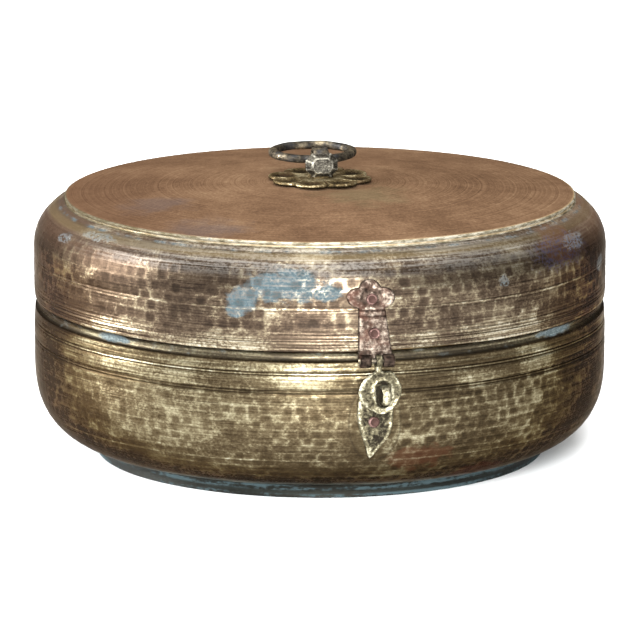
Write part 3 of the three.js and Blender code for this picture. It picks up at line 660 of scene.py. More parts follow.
def finish_piece(bm, name, body, finish, nodes, crease=38, reshape=None):
    """Closes a bmesh, scales it to metres and hands it over to the frame.

    Edges bent by more than crease degrees stay sharp, and reshape may still move the vertices.
    """
    bmesh.ops.remove_doubles(bm, verts=bm.verts, dist=0.002)
    bmesh.ops.recalc_face_normals(bm, faces=bm.faces)
    bmesh.ops.scale(bm, vec=(MM, MM, MM), verts=bm.verts)
    for face in bm.faces:
        face.smooth = True
    for edge in bm.edges:
        if edge.is_manifold and edge.calc_face_angle() > radians(crease):
            edge.smooth = False
    mesh = bpy.data.meshes.new(name)
    bm.to_mesh(mesh)
    bm.free()
    if reshape:
        reshape(mesh)
    mesh.materials.append(finish)
    piece = add_to_scene(name, mesh)
    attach(piece, body)
    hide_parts(*([nodes] if isinstance(nodes, str) else nodes))
    print(f"{name}: {len(mesh.polygons)} faces")
    return piece


def column(mesh, name):
    """A float attribute of a mesh's vertices as an array."""
    values = np.zeros(len(mesh.vertices), np.float32)
    if name in mesh.attributes:
        mesh.attributes[name].data.foreach_get("value", values)
    return values


def points_of(mesh, what="vertices"):
    """The places or the normals of a mesh's vertices, as rows of x, y, z."""
    values = np.zeros(len(mesh.vertices) * 3, np.float32)
    if what == "normals":
        mesh.vertex_normals.foreach_get("vector", values)
    else:
        mesh.vertices.foreach_get("co", values)
    return values.reshape(-1, 3).astype(float)


def store(mesh, places, hollow=None):
    """Writes moved vertices back, and the depth of the marks as an attribute."""
    mesh.vertices.foreach_set("co", places.astype(np.float32).ravel())
    if hollow is not None:
        layer = mesh.attributes.get("hollow") or mesh.attributes.new("hollow", "FLOAT", "POINT")
        layer.data.foreach_set("value", hollow.astype(np.float32))
    mesh.update()


# %% [markdown]
# ## Hammer marks
#
# A brass bowl is beaten with a round-nosed hammer in rows that go round it. Each mark is a shallow
# hollow with soft corners, no two quite alike. The marks are real geometry here: every vertex of a
# wall finds the nearest marks of its row and of the rows beside it, and sinks by the deepest. Marks
# that are only bump would leave the outline smooth, and the exported shape would have none.

# %% Hammer marks
def hammer_marks(around, along, pitch, columns, seed):
    """Depth of the marks from 0 on a ridge to 1 in a hollow, for angles and ways along the wall."""
    draw = np.random.default_rng(seed)
    rows = ceil(along.max() / pitch) + 2
    start = draw.uniform(0, 1, rows)
    shift_round, shift_along = draw.normal(0, 0.10, (2, rows, columns))
    breadth = draw.uniform(0.78, 1.12, (rows, columns))
    depth = draw.uniform(0.35, 1.0, (rows, columns)) * (draw.random((rows, columns)) > 0.07)
    hollow = np.zeros(len(around))
    turn, level = around / tau * columns, along / pitch
    for row_step in (-1, 0, 1):
        row = np.clip(np.floor(level).astype(int) + row_step, 0, rows - 1)
        for column_step in (-1, 0, 1):
            cell = np.floor(turn + start[row]).astype(int) + column_step
            at = (row, cell % columns)
            across = turn + start[row] - cell - 0.5 - shift_round[at]
            upright = level - row - 0.5 - shift_along[at]
            reach = (abs(across) / (0.5 * breadth[at])) ** 3 + (abs(upright) / 0.5) ** 3
            hollow = np.maximum(hollow, depth[at] * np.clip(1.15 - reach, 0, 1))
    return np.clip(hollow, 0, 1)


def waver(around, count, seed):
    """A slow, closed ripple round the box, about -1 to 1."""
    draw = np.random.default_rng(seed)
    phases, sizes = draw.uniform(0, tau, count), 1 / np.sqrt(np.arange(1, count + 1))
    waves = [size * np.sin((i + 1) * around + phase) for i, (size, phase) in enumerate(zip(sizes, phases))]
    return np.sum(waves, 0) / 1.6


def beat(mesh, pitch, columns, depth, along_fade, seed):
    """Sinks the hammer marks into the outside of a turned wall and stores them.

    The marks are pitch mm high, columns to a turn and depth mm deep; along_fade says how strong they
    are at ways along the outline.
    """
    places, normals = points_of(mesh) / MM, points_of(mesh, "normals")
    around = np.arctan2(places[:, 0], -places[:, 1])
    along, outside = column(mesh, "along"), 1 - column(mesh, "inside")
    marks = hammer_marks(around, along + 0.7 * waver(around, 5, seed), pitch, columns, seed)
    marks *= np.interp(along, *zip(*along_fade)) * outside
    marks *= np.clip(0.78 + 0.32 * waver(around, 4, seed + 1), 0.3, 1)
    places -= normals * (marks * depth)[:, None]
    dents = 0.22 * waver(around, 9, seed + 2) ** 2 * outside
    places -= normals * dents[:, None]
    store(mesh, places * MM, marks)
    return marks


def levels(low, high, step, lines, half=0.5):
    """Heights for the rings of a wall: evenly spaced, and closer at the scored lines."""
    even = np.linspace(low, high, max(2, round((high - low) / step) + 1))
    near = [line + half * share for line, _ in lines for share in (-1.6, -0.8, 0, 0.8, 1.6)]
    near = [height for height in near if low < height < high]
    kept = [height for height in even if all(abs(height - other) > 0.3 * step for other in near)]
    return sorted({*kept, *near, low, high})


def scored(height, lines, half=0.5):
    """How deep the scored lines are at a height."""
    return sum(depth * np.exp(-(((height - line) / half) ** 2)) for line, depth in lines)


# %% [markdown]
# ## Base bowl
#
# The bowl is one sheet: a flat floor, a belly that curves out to its full width, an upright wall and
# a hollow moulding under the rim. Two pairs of lines are scored under the moulding. The outline goes
# up the outside and back down the inside, so one spin makes the closed shell.

# %% Base bowl's outline
BASE_LINES = [(76.2, 0.4), (74.6, 0.35), (66.3, 0.4), (64.8, 0.3), (79.2, 0.15), (58.6, 0.12), (27.8, 0.22),
              (26.0, 0.2)]                  # height and depth of each scored line
BELLY_START, BELLY_FOOT, BELLY_RISE = FOOT + 1.5, FOOT_HEIGHT + 0.6, 52
FLOOR_UNDER = BELLY_FOOT - 0.3
WALL_STEP = 0.95                            # between two rings of an upright wall
DRAWN_IN = 70                               # above this height the wall draws in to the edge


def belly(share):
    """Radius and height of the bowl's belly, from 0 at the foot ring to 1 at the full width."""
    out = (1 - (1 - share) ** 3.2) ** (1 / 1.6)
    return BELLY_START + (BODY - BELLY_START) * out, BELLY_FOOT + BELLY_RISE * share


def belly_drop(z):
    """How far the bowl's belly has turned inwards at a height, for the leaf that is beaten against it."""
    return BODY - belly(min(1, (z - BELLY_FOOT) / BELLY_RISE))[0]


def base_outside():
    """Up the outside: floor, belly, upright wall and the hollow moulding."""
    points = [(radius, FLOOR_UNDER) for radius in (0, 60, 118, FOOT)]
    for share in (np.linspace(0, 1, 62) ** 1.55)[:-1]:
        radius, height = belly(share)
        points.append((radius - scored(height, BASE_LINES), height))
    for height in levels(BELLY_FOOT + BELLY_RISE, COVE_FOOT - 0.8, WALL_STEP, BASE_LINES):
        drawn = max(0, (height - DRAWN_IN) / (COVE_FOOT - DRAWN_IN)) ** 2
        points.append((BODY - (BODY - EDGE) * drawn - scored(height, BASE_LINES), height))
    for share in np.linspace(0, 1, 10):
        cove = COVE_DEPTH * sin(pi * share) ** 0.8
        points.append((EDGE - 0.8 * share - cove, COVE_FOOT + (RIM - 0.35 - COVE_FOOT) * share))
    return points


def base_inside():
    """Over the rim and down the inside, a sheet's thickness from the belly."""
    rim_inner = EDGE - WALL - 2 + 0.3
    points = [(EDGE - 1.3, RIM), (rim_inner, RIM, 1), (rim_inner, RIM - 11.3, 1), (EDGE - WALL, RIM - 13.3, 1)]
    for share in np.linspace(1, 0, 13):
        radius, height = belly(share)
        ahead, behind = belly(min(1, share + 0.01)), belly(max(0, share - 0.01))
        slope = Vector((ahead[0] - behind[0], ahead[1] - behind[1])).normalized()
        points.append((radius - WALL * slope.y, max(height + WALL * slope.x, FLOOR_UNDER + WALL), 1))
    return points + [(radius, FLOOR_UNDER + WALL, 1) for radius in (118, 60, 0)]


# %% Base bowl's marks
def beat_base(mesh):
    """Marks the belly and the wall, fading at the foot and under the moulding."""
    start = hypot(BELLY_START - FOOT, 0.3) + FOOT
    fade = [(0, 0), (12, 0.2), (24, 1), (74, 1), (80, 0.15), (92, 0)]
    beat(mesh, 4.5, 148, 0.10, [(start + way, strength) for way, strength in fade], 11)


base_shell = turned(base_outside() + base_inside(), 768)
finish_piece(base_shell, "beaten_bowl", "base", BASE_WALL, "base_bowl", 45, beat_base)

# %% [markdown]
# ## Foot ring
#
# A plain band of thick sheet soldered under the bowl, turned true from one outline. The cell also
# holds a step that many of the cast and cut pieces share, which pushes a piece's vertices in and out
# by slow waves; the foot itself doesn't take it.

# %% Foot ring
def worn_by_use(size, seed):
    """A reshape step that gives a piece slow dents of a given size in millimetres."""
    def reshape(mesh):
        places, normals = points_of(mesh) / MM, points_of(mesh, "normals")
        draw = np.random.default_rng(seed)
        bumps = np.zeros(len(places))
        for _ in range(9):
            pace = draw.normal(0, 1, 3)
            pace *= draw.uniform(0.15, 0.9) / np.linalg.norm(pace)
            bumps += np.sin(places @ pace + draw.uniform(0, tau))
        hollow = np.clip(0.5 + bumps / 6, 0, 1)
        places -= normals * (hollow * size)[:, None]
        store(mesh, places * MM, hollow)
    return reshape


foot_outline = [(FOOT - 3.3, 0.5), (FOOT - 2.8, 0), (FOOT - 0.6, 0), (FOOT - 0.1, 0.6), (FOOT - 0.5, 2.4),
                (FOOT - 0.6, 4.6), (FOOT - 0.1, 6.4), (FOOT - 0.1, FOOT_HEIGHT), (FOOT - 3.3, FOOT_HEIGHT)]
finish_piece(turned(foot_outline, 256), "foot_band", "base", FOOT_FINISH, "foot_ring", 50)

# %% [markdown]
# ## Rim collar
#
# An upright ring stands inside the rim, and the lid drops over it. Its top edge is rounded so that it
# doesn't cut a hand that reaches in.

# %% Rim collar
COLLAR_LOW, COLLAR_HIGH = (corner.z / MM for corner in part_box("rim_collar"))
COLLAR, COLLAR_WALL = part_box("rim_collar")[1].x / MM, 1.6
collar_outline = [(COLLAR - COLLAR_WALL, COLLAR_LOW), (COLLAR, COLLAR_LOW), (COLLAR, COLLAR_LOW + 5),
                  (COLLAR, COLLAR_HIGH - 4), *arc((COLLAR - 0.8, COLLAR_HIGH - 0.8), 0.8, 0, 180, 6),
                  (COLLAR - COLLAR_WALL, COLLAR_HIGH - 6)]
finish_piece(turned(collar_outline, 256), "collar_ring", "base", INNER_BRASS, "rim_collar", 50)

# %% [markdown]
# ## Lid: wall and shoulder
#
# The lid repeats the bowl's wall upside down and rounds over into a shoulder. Close to the seam the
# lathe left raised lines, and on the shoulder a groove and a fine ridge run just outside the disc.

# %% Lid wall's outline
LID_LINES = [(89.6, 0.28), (91.0, 0.2), (93.0, 0.3), (94.4, 0.22), (96.4, 0.2), (98.2, 0.12), (109.6, 0.22),
             (111.3, 0.22)]
SHOULDER_LINES = [(139.0, 0.35), (134.9, 0.2), (133.9, 0.2)]
DRAWN_IN_BELOW = 93


def lid_outside():
    """From the lid's lower edge up the wall and round the shoulder to the disc."""
    points = [(EDGE - 0.5, SEAM), (EDGE - 0.05, SEAM + 0.15)]
    for height in levels(SEAM + 0.7, SHOULDER, WALL_STEP, LID_LINES, 0.4):
        drawn = max(0, (DRAWN_IN_BELOW - height) / (DRAWN_IN_BELOW - SEAM)) ** 1.5
        points.append((BODY - (BODY - EDGE) * drawn - scored(height, LID_LINES, 0.4), height))
    end = degrees(atan2(DISC_FOOT - SHOULDER, DISC - SHOULDER_CENTRE))
    for angle in np.linspace(0, end, 38)[1:]:
        height = SHOULDER + SHOULDER_RADIUS * sin(radians(angle))
        reach = SHOULDER_RADIUS - scored(height, SHOULDER_LINES, 0.45)
        points.append((SHOULDER_CENTRE + reach * cos(radians(angle)), SHOULDER + reach * sin(radians(angle))))
    return points


def lid_inside():
    """Back down the inside of the shoulder and the wall."""
    inner, across = SHOULDER_RADIUS - WALL, DISC - WALL - SHOULDER_CENTRE
    end = degrees(atan2(sqrt(inner**2 - across**2), across))
    shoulder = arc((SHOULDER_CENTRE, SHOULDER), inner, end, 0, 9, 1.0)
    return shoulder + [(BODY - WALL, 100, 1), (EDGE - WALL, 92, 1), (EDGE - WALL, SEAM + 0.4, 1)]


# %% Lid wall's marks
def beat_lid(mesh):
    """Marks the lid's wall, fading at the seam and on the shoulder."""
    fade = [(0, 0), (8, 0.12), (12, 0.9), (30, 1), (44, 0.9), (50, 0.35), (55, 0.15), (60, 0)]
    beat(mesh, 5.7, 140, 0.18, fade, 23)


lid_shell = turned(lid_outside() + lid_inside(), 832)
finish_piece(lid_shell, "beaten_lid", "lid", LID_WALL, "lid_shell", 45, beat_lid)

# %% [markdown]
# ## Lid: top disc
#
# The top is a shallow dome inside a low step. It was turned on a lathe: the tool left rings a few
# millimetres apart, which are real ripples here, and much finer ones that the finish adds as bump.

# %% Top disc
DOME_RADIUS = (DISC**2 + (DOME - DISC_EDGE) ** 2) / (2 * (DOME - DISC_EDGE))


def dome_height(radius):
    """Height of the disc's shallow dome."""
    return DOME - DOME_RADIUS + sqrt(DOME_RADIUS**2 - radius**2)


def disc_outline():
    """The rippled top, the low step at its edge and the plain underside."""
    rings = [(0.0, DOME)]
    for radius in np.linspace(4, DISC - 1.6, 132):
        ripple = 0.03 * (1 - cos(tau * radius / 4.3)) * (0.6 + 0.4 * sin(radius / 9.0))
        rings.append((radius, dome_height(radius) - ripple))
    rings += [(DISC - 0.9, DISC_EDGE - 0.02), (DISC - 0.35, DISC_EDGE - 0.25), (DISC, DISC_EDGE - 0.8),
              (DISC - 0.25, DISC_EDGE - 1.5), (DISC - 0.7, DISC_EDGE - 2.1), (DISC - 0.6, DISC_EDGE - 2.8),
              (DISC + 0.15, DISC_FOOT - 0.25)]
    floor = [(DISC - 1.0, DISC_FOOT - 1.2, 1), (DISC - WALL, DISC_FOOT - 0.9, 1)]
    inner = [(radius, dome_height(radius) - WALL, 1) for radius in np.linspace(DISC - WALL, 12, 12)]
    return rings + floor + inner + [(0, DOME - WALL - 0.05, 1)]


def sag_disc(mesh):
    """Old knocks: the disc sags a little between its middle and its edge."""
    places = points_of(mesh) / MM
    around = np.arctan2(places[:, 0], -places[:, 1])
    radius = np.hypot(places[:, 0], places[:, 1])
    share = np.clip(radius / 120, 0, 1) * np.clip((DISC - radius) / 12, 0, 1)
    places[:, 2] -= share * 0.25 * waver(around, 5, 41) ** 2
    store(mesh, places * MM, np.zeros(len(places)))


disc = turned(disc_outline(), 384)
finish_piece(disc, "turned_disc", "lid", DISC_TOP, "lid_shell", 40, sag_disc)

# %% [markdown]
# ## Rose under the handle
#
# The rose is cast with eight cupped petals. It is turned first as a plain ring, and then each vertex
# moves: the rim goes out to the petal's arc, the middle of each petal sinks, and the seams between
# petals are creased.

# %% Rose
ROSE_LOW, ROSE_HIGH = (corner.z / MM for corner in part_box("handle_rosette"))
LOBES, PETAL_CENTRE, PETAL = 8, 18.75, 10.25
ROSE = PETAL_CENTRE + PETAL                 # radius at the tip of a petal


def petal_rim(around):
    """Radius of the rose's edge, and how far across its petal each angle lies, from -1 to 1."""
    half = pi / LOBES
    off = (around % (2 * half)) - half
    radius = PETAL_CENTRE * np.cos(off) + np.sqrt(PETAL**2 - (PETAL_CENTRE * np.sin(off)) ** 2)
    return radius, off / half


def cup_petals(mesh):
    """Draws the plain ring out to the petals, cups each petal and creases the seams between."""
    places = points_of(mesh) / MM
    around = np.arctan2(places[:, 0], -places[:, 1])
    share = np.hypot(places[:, 0], places[:, 1]) / ROSE
    top = column(mesh, "inside") < 0.5
    edge, across = petal_rim(around)
    radius = share * (ROSE + (edge - ROSE) * np.clip((share - 0.25) / 0.45, 0, 1) ** 1.2)
    places[:, 0], places[:, 1] = radius * np.sin(around), -radius * np.cos(around)
    cup = np.clip(1 - (across / 0.86) ** 2, 0, 1) * np.clip(1 - ((share - 0.7) / 0.26) ** 2, 0, 1)
    crease = np.exp(-((np.abs(across) - 1) / 0.07) ** 2) * np.clip((share - 0.35) / 0.2, 0, 1)
    hollow = np.clip(cup * 1.1 + crease * 0.8, 0, 1)
    lift = 0.5 * np.clip((share - 0.8) / 0.2, 0, 1) * (0.6 + 0.4 * np.sin(3 * around + 1.0))
    places[:, 2] -= np.where(top, cup * 1.25 + crease * 0.9 + 0.5 - lift, -0.25 * lift)
    store(mesh, places * MM, hollow * top)


rose_outline = [(3.8, ROSE_HIGH)] + [(radius, ROSE_HIGH) for radius in np.linspace(5.5, 27.6, 26)]
rose_outline += [(28.5, ROSE_HIGH - 0.25), (ROSE, ROSE_HIGH - 0.9), (28.8, ROSE_LOW + 0.35, 1),
                 (28.0, ROSE_LOW, 1), (16, ROSE_LOW, 1), (3.8, ROSE_LOW, 1)]
finish_piece(turned(rose_outline, 320), "petal_rose", "lid", ROSE_BRASS, "handle_rosette", 60,
             cup_petals)

# %% [markdown]
# ## Handle: eye and boss
#
# The post is a small casting: an eye that the ring hangs in, a cut-cornered boss on its front, a neck
# on the rose, and a shank that is hammered over a washer under the lid. The boss is cut like a stone,
# so it is an extruded eight-sided face with a smaller face in front, and its edges are bevelled.

# %% Eye
post_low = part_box("handle_post")[0] / MM
RING_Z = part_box("handle_post")[1].z / MM - 7
EYE_HOLE, EYE, EYE_HALF = 3.35, 7.0, 4.5


def rounded(low_radius, high_radius, low, high, soft):
    """A closed outline: a rectangle in radius and height whose corners are cut, twice on the outside."""
    near, far, little = low_radius + soft, high_radius - soft, 0.3 * soft
    return [(low_radius, low + soft), (near, low), (far, low), (high_radius - little, low + little),
            (high_radius, low + soft), (high_radius, high - soft), (high_radius - little, high - little),
            (far, high), (near, high), (low_radius, high - soft)]


eye = turn_to(turned(rounded(EYE_HOLE, EYE, -EYE_HALF, EYE_HALF, 1.3), 64), (1, 0, 0), (0, 0, RING_Z))
finish_piece(eye, "ring_eye", "lid", DARK_BRONZE, "handle_post", 50, worn_by_use(0.25, 3))


# %% Boss
BOSS_BACK, BOSS_FRONT = -3.3, -8.45
BOSS_HALF_WIDE, BOSS_HALF_HIGH, BOSS_CORNER = 8.9, 6.4, 3.7


def cut_stone(half_width, half_height, corner, back, front, centre_z):
    """A boss with cut corners: an eight-sided face drawn out and drawn in again towards the front."""
    bm = bmesh.new()
    w, h, c = half_width, half_height, corner
    ring = [(c - w, -h), (w - c, -h), (w, c - h), (w, h - c), (w - c, h), (c - w, h), (-w, h - c), (-w, c - h)]
    face = bm.faces.new([bm.verts.new((x, back, centre_z + z)) for x, z in ring])
    for y, share, closes_back in ((back + (front - back) * 0.45, 1.0, True), (front, 0.66, False)):
        step = bmesh.ops.extrude_face_region(bm, geom=[face], use_keep_orig=closes_back)
        verts = [v for v in step["geom"] if isinstance(v, bmesh.types.BMVert)]
        face = next(f for f in step["geom"] if isinstance(f, bmesh.types.BMFace))
        for vert in verts:
            vert.co.y = y
        bmesh.ops.scale(bm, vec=(share, 1, share), verts=verts, space=Matrix.Translation((0, 0, -centre_z)))
    bmesh.ops.recalc_face_normals(bm, faces=bm.faces)
    bmesh.ops.bevel(bm, geom=bm.edges[:], offset=0.42, offset_type="OFFSET", segments=2, profile=0.5,
                    material=-1, affect="EDGES")
    # the flat of each facet is darker than its rubbed edge, so it gets its own inner face
    hollow_layer = bm.verts.layers.float.new("hollow")
    flats = [face for face in bm.faces if face.calc_area() > 3]
    bmesh.ops.inset_individual(bm, faces=flats, thickness=0.45, use_even_offset=True)
    for face in flats:
        for vert in face.verts:
            vert[hollow_layer] = 1.0
    return bm


boss = cut_stone(BOSS_HALF_WIDE, BOSS_HALF_HIGH, BOSS_CORNER, BOSS_BACK, BOSS_FRONT, ROSE_HIGH + 6.8)
finish_piece(boss, "cut_boss", "lid", BOSS_BRONZE, "handle_post", 30)

# %% [markdown]
# ## Handle: neck, shank and washer
#
# Below the eye the casting narrows to a neck that spreads on the rose. Its shank goes through the
# lid, and under a washer its end is hammered over. Neck, shank and washer are round, so they are
# turned, and then knocked out of true like the rest.

# %% Neck, shank and washer
neck_outline = [(0, ROSE_HIGH - 1.2), (7.6, ROSE_HIGH - 1.0), (7.2, ROSE_HIGH + 0.3), (6.0, ROSE_HIGH + 1.0),
                (5.3, ROSE_HIGH + 2.4), (5.4, ROSE_HIGH + 4.5), (4.6, RING_Z - 3.6), (0, RING_Z - 3.5)]
finish_piece(turned(neck_outline, 64), "post_neck", "lid", ROSE_BRASS, "handle_post", 50,
             worn_by_use(0.2, 5))

shank_outline = [(0, post_low.z), (3.4, post_low.z + 0.1), (5.6, post_low.z + 0.7), (6.3, post_low.z + 1.4),
                 (6.3, post_low.z + 1.8), (4, post_low.z + 1.9), (4, ROSE_LOW + 0.6), (0, ROSE_LOW + 0.6)]
finish_piece(turned(shank_outline, 48), "post_shank", "lid", INNER_BRASS, "handle_post", 50,
             worn_by_use(0.15, 6))

washer_low, washer_high = (corner.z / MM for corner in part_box("post_washer"))
washer = turned(rounded(4.3, 11, washer_low, washer_high, 0.4), 72)
finish_piece(washer, "shank_washer", "lid", INNER_BRASS, "post_washer", 50, worn_by_use(0.1, 7))

# %% [markdown]
# ## Handle: ring
#
# The ring is bent from round bar and worn almost square where hands hold it. Its section is turned
# round z, like a bowl's outline, and then moved back so that its front runs through the eye.

# %% Ring
RING, BAR, BAR_HALF_TALL = 22.1, 2.5, 2.42  # radius of the ring, and half widths of its bar


def soft_oval(half_wide, half_tall, wide_power, tall_power, steps):
    """Points of an oval whose sides are flattened where the powers are below 1."""
    turns = np.linspace(0, tau, steps, endpoint=False)
    return [(half_wide * abs(cos(a)) ** wide_power * np.sign(cos(a)),
             half_tall * abs(sin(a)) ** tall_power * np.sign(sin(a))) for a in turns]


ring = turned([(RING + out, up) for out, up in soft_oval(BAR, BAR_HALF_TALL, 0.85, 0.8, 24)], 168)
bmesh.ops.translate(ring, vec=(0, RING, RING_Z), verts=ring.verts)
finish_piece(ring, "swing_ring", "ring", DARK_BRONZE, "handle_ring", 60, worn_by_use(0.28, 9))

# %% [markdown]
# ## Rivets
#
# Every fitting is held by copper rivets: a head with a slightly dished middle outside, a shank, and a
# tail hammered over a little flatter inside. Each takes its place and its length from its CAD node.

# %% Rivets
RIVETS = {"hasp_rivet_lower": ("lid", -1), "hasp_rivet_upper": ("lid", -1), "plate_rivet": ("base", -1),
          "lid_hinge_rivet_1": ("lid", 1), "lid_hinge_rivet_2": ("lid", 1),
          "base_hinge_rivet_1": ("base", 1), "base_hinge_rivet_2": ("base", 1)}


def rivet_outline(head, length):
    """From the hammered tail along the shank to the head, whose dished middle counts as inside."""
    return [(0, 0), (1.7, 0.1), (2.5, 0.6), (2.6, 1.0), (1.6, 1.05), (1.6, length - 1.3), (head, length - 1.3),
            (head, length - 0.95), (head * 0.93, length - 0.45), (head * 0.84, length - 0.12),
            (head * 0.7, length), (head * 0.55, length - 0.16, 0.7), (head * 0.3, length - 0.34, 1),
            (0, length - 0.4, 0.7)]


for number, (node, (body, outward)) in enumerate(RIVETS.items()):
    low, high = (Vector(c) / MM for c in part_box(node))
    centre = (low + high) / 2
    tail = (centre.x, low.y if outward > 0 else high.y, centre.z)
    rivet = turned(rivet_outline((high.x - low.x) / 2, high.y - low.y), 40)
    finish_piece(turn_to(rivet, (0, outward, 0), tail), node + "_worked", body, COPPER, node, 50,
                 worn_by_use(0.16, 20 + number))

# %% [markdown]
# ## Plates with a drawn outline
#
# The strap, the leaf and the hinge leaves are cut from sheet. A grid is laid over each and its rows
# are stretched to the outline's left and right edges. The grid's edge turns back towards the box, and
# the whole sheet is extruded to its thickness, so the plate has a soft edge and can carry relief.

# %% Plate helper
PLATE_BACK = -158.9                         # the fittings lie just off the widest part of the wall


def hump(value, middle, half):
    """1 at the middle, falling off on both sides like a bell."""
    return float(np.exp(-(((value - middle) / half) ** 2)))


def sheet_plate(rows, columns, heights, edges, front, back):
    """A closed plate facing -y. edges(z) gives left and right; front and back give y for u, z, x."""
    bm = bmesh.new()
    bmesh.ops.create_grid(bm, x_segments=columns, y_segments=rows, size=1)
    u_layer, z_layer = bm.verts.layers.float.new("u"), bm.verts.layers.float.new("level")
    hollow_layer = bm.verts.layers.float.new("hollow")
    low, high = heights
    for vert in bm.verts:
        u, z = vert.co.x, low + (high - low) * (vert.co.y + 1) / 2
        left, right = edges(z)
        x = (left + right) / 2 + u * (right - left) / 2
        vert[u_layer], vert[z_layer] = u, z
        y, vert[hollow_layer] = front(u, z, x)
        vert.co = (x, y, z)
    made = bmesh.ops.extrude_face_region(bm, geom=bm.faces[:], use_keep_orig=True)
    for vert in made["geom"]:
        if isinstance(vert, bmesh.types.BMVert):
            vert.co.y = back(vert[u_layer], vert[z_layer], vert.co.x)
            vert[hollow_layer] = 0.3
    return bm


def soft_edge(u, distance_to_end, half_width, rounding=0.9):
    """1 in the middle of a plate, falling to 0 at its edges over the rounding, in millimetres."""
    side = min(1.0, (1 - abs(u)) * half_width / rounding)
    end = min(1.0, max(0.0, distance_to_end) / rounding)
    return sqrt(1 - (1 - side) ** 2) * sqrt(1 - (1 - end) ** 2)


# %% [markdown]
# ## Hasp strap
#
# The strap is riveted to the lid and ends in a three-lobed head. It lies against the wall and bends
# back with the shoulder at the top. Two lines are chased across its neck. Its foot is rolled into two
# knuckles round the hasp's pin, and the link's eye turns between them.

# %% Hasp strap's outline
def middle_of(node):
    """The middle of a CAD node's box, in millimetres."""
    low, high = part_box(node)
    return (Vector(low) + Vector(high)) / 2 / MM


PIN = middle_of("hasp_pin")
STRAP_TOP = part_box("hasp_strap")[1].z / MM
LEAN = -0.075                               # the strap leans to the left as it rises
FOOT_HALF, NECK_HALF, NECK_RISE = 9.3, 7.3, 27
LOBE, LOBE_OUT, LOBE_Z = 5, 8, PIN.z + 33.7
CROWN, CROWN_Z = 6.2, STRAP_TOP - 6.2
CHASED = (107.0, 110.2)                     # heights of the lines across the neck


def strap_edges(z):
    """Left and right edge of the strap at a height: a tapering foot, two side lobes and a crown."""
    middle = LEAN * (z - PIN.z)
    half = FOOT_HALF + (NECK_HALF - FOOT_HALF) * min(1, max(0, (z - PIN.z) / NECK_RISE))
    if z > LOBE_Z - LOBE:
        lobe = LOBE_OUT + sqrt(max(0, LOBE**2 - (z - LOBE_Z) ** 2)) if z < LOBE_Z + 4.9 else 0
        crown = sqrt(max(0, CROWN**2 - (z - CROWN_Z) ** 2)) if z > CROWN_Z - CROWN else 0
        half = max(lobe, crown, 0.4) if z < LOBE_Z + 5.2 else max(crown, 0.15)
    return middle - half, middle + half


# %% Hasp strap
def shoulder_drop(z):
    """How far the lid's shoulder has turned inwards at a height."""
    return SHOULDER_RADIUS - sqrt(SHOULDER_RADIUS**2 - max(0.0, z - SHOULDER) ** 2)


def strap_back(u, z, x):
    """The strap lies flat on the wall and bends back with the shoulder."""
    return PLATE_BACK + 0.9 * shoulder_drop(z)


def strap_front(u, z, x):
    """The worn front, with its chased lines, a dish round the upper rivet and raised lobes."""
    left, right = strap_edges(z)
    soft = soft_edge(u, min(STRAP_TOP - z, z - PIN.z + 3), (right - left) / 2)
    across = x - LEAN * (z - PIN.z)
    chased = sum(hump(z, line, 0.55) for line in CHASED)
    rim = 0.3 * hump(abs(u), 0.86, 0.12) * (z < 106)
    in_head = z > 111
    dish = 0.45 * hump(hypot(across, (z - LOBE_Z) * 0.9), 4.2, 1.2) * in_head
    lobes = 0.5 * hump(hypot(abs(across) - 8.2, z - LOBE_Z), 0, 2.4) * in_head
    grain = 0.12 * sin(x * 2.1 + 0.7 * z) * sin(z * 1.7 + 1.3 * sin(x))
    depth = min(0.9, max(0.0, chased * 0.4 + dish - rim + grain - 0.35 * lobes))
    hollow = min(1, max(0, chased * 0.8 + dish + 0.4 * grain))
    return strap_back(u, z, x) - 1.95 * (0.25 + 0.75 * soft) + depth * soft, hollow


strap = sheet_plate(92, 40, (PIN.z - 0.5, STRAP_TOP), strap_edges, strap_front, strap_back)
finish_piece(strap, "hasp_strap_worked", "lid", STRAP_BRASS, "hasp_strap", 60)

# %% Strap's knuckles and the hasp's pin
def along_x(bm, centre):
    """Lays a piece that was turned round z along x, with its middle at a point's y and z."""
    return turn_to(bm, (1, 0, 0), (0, centre.y, centre.z))


for number, (west, east) in enumerate(((-9.3, -3.2), (3.2, 9.3))):
    knuckle = along_x(turned(rounded(1.7, 3.6, west, east, 0.5), 48), PIN)
    finish_piece(knuckle, f"strap_knuckle_{number + 1}", "lid", STRAP_BRASS, "hasp_strap", 50,
                 worn_by_use(0.12, 30 + number))

hasp_pin_outline = [(0, -9.9), (1.1, -9.8), (1.5, -9.3), (1.5, 9.3), (1.1, 9.8), (0, 9.9)]
hasp_pin = along_x(turned(hasp_pin_outline, 32), PIN)
finish_piece(hasp_pin, "hasp_pin_worked", "lid", DARK_BRONZE, "hasp_pin", 50)

# %% [markdown]
# ## Hasp link
#
# The link is a cast loop with two rounded ears round a slanted slot, and a narrow tongue that ends in
# the eye on the pin. A ring is turned first. Its inner edge moves to the slot and its outer edge to
# the ears' outline, and the middle of each ear is dished between two rims.

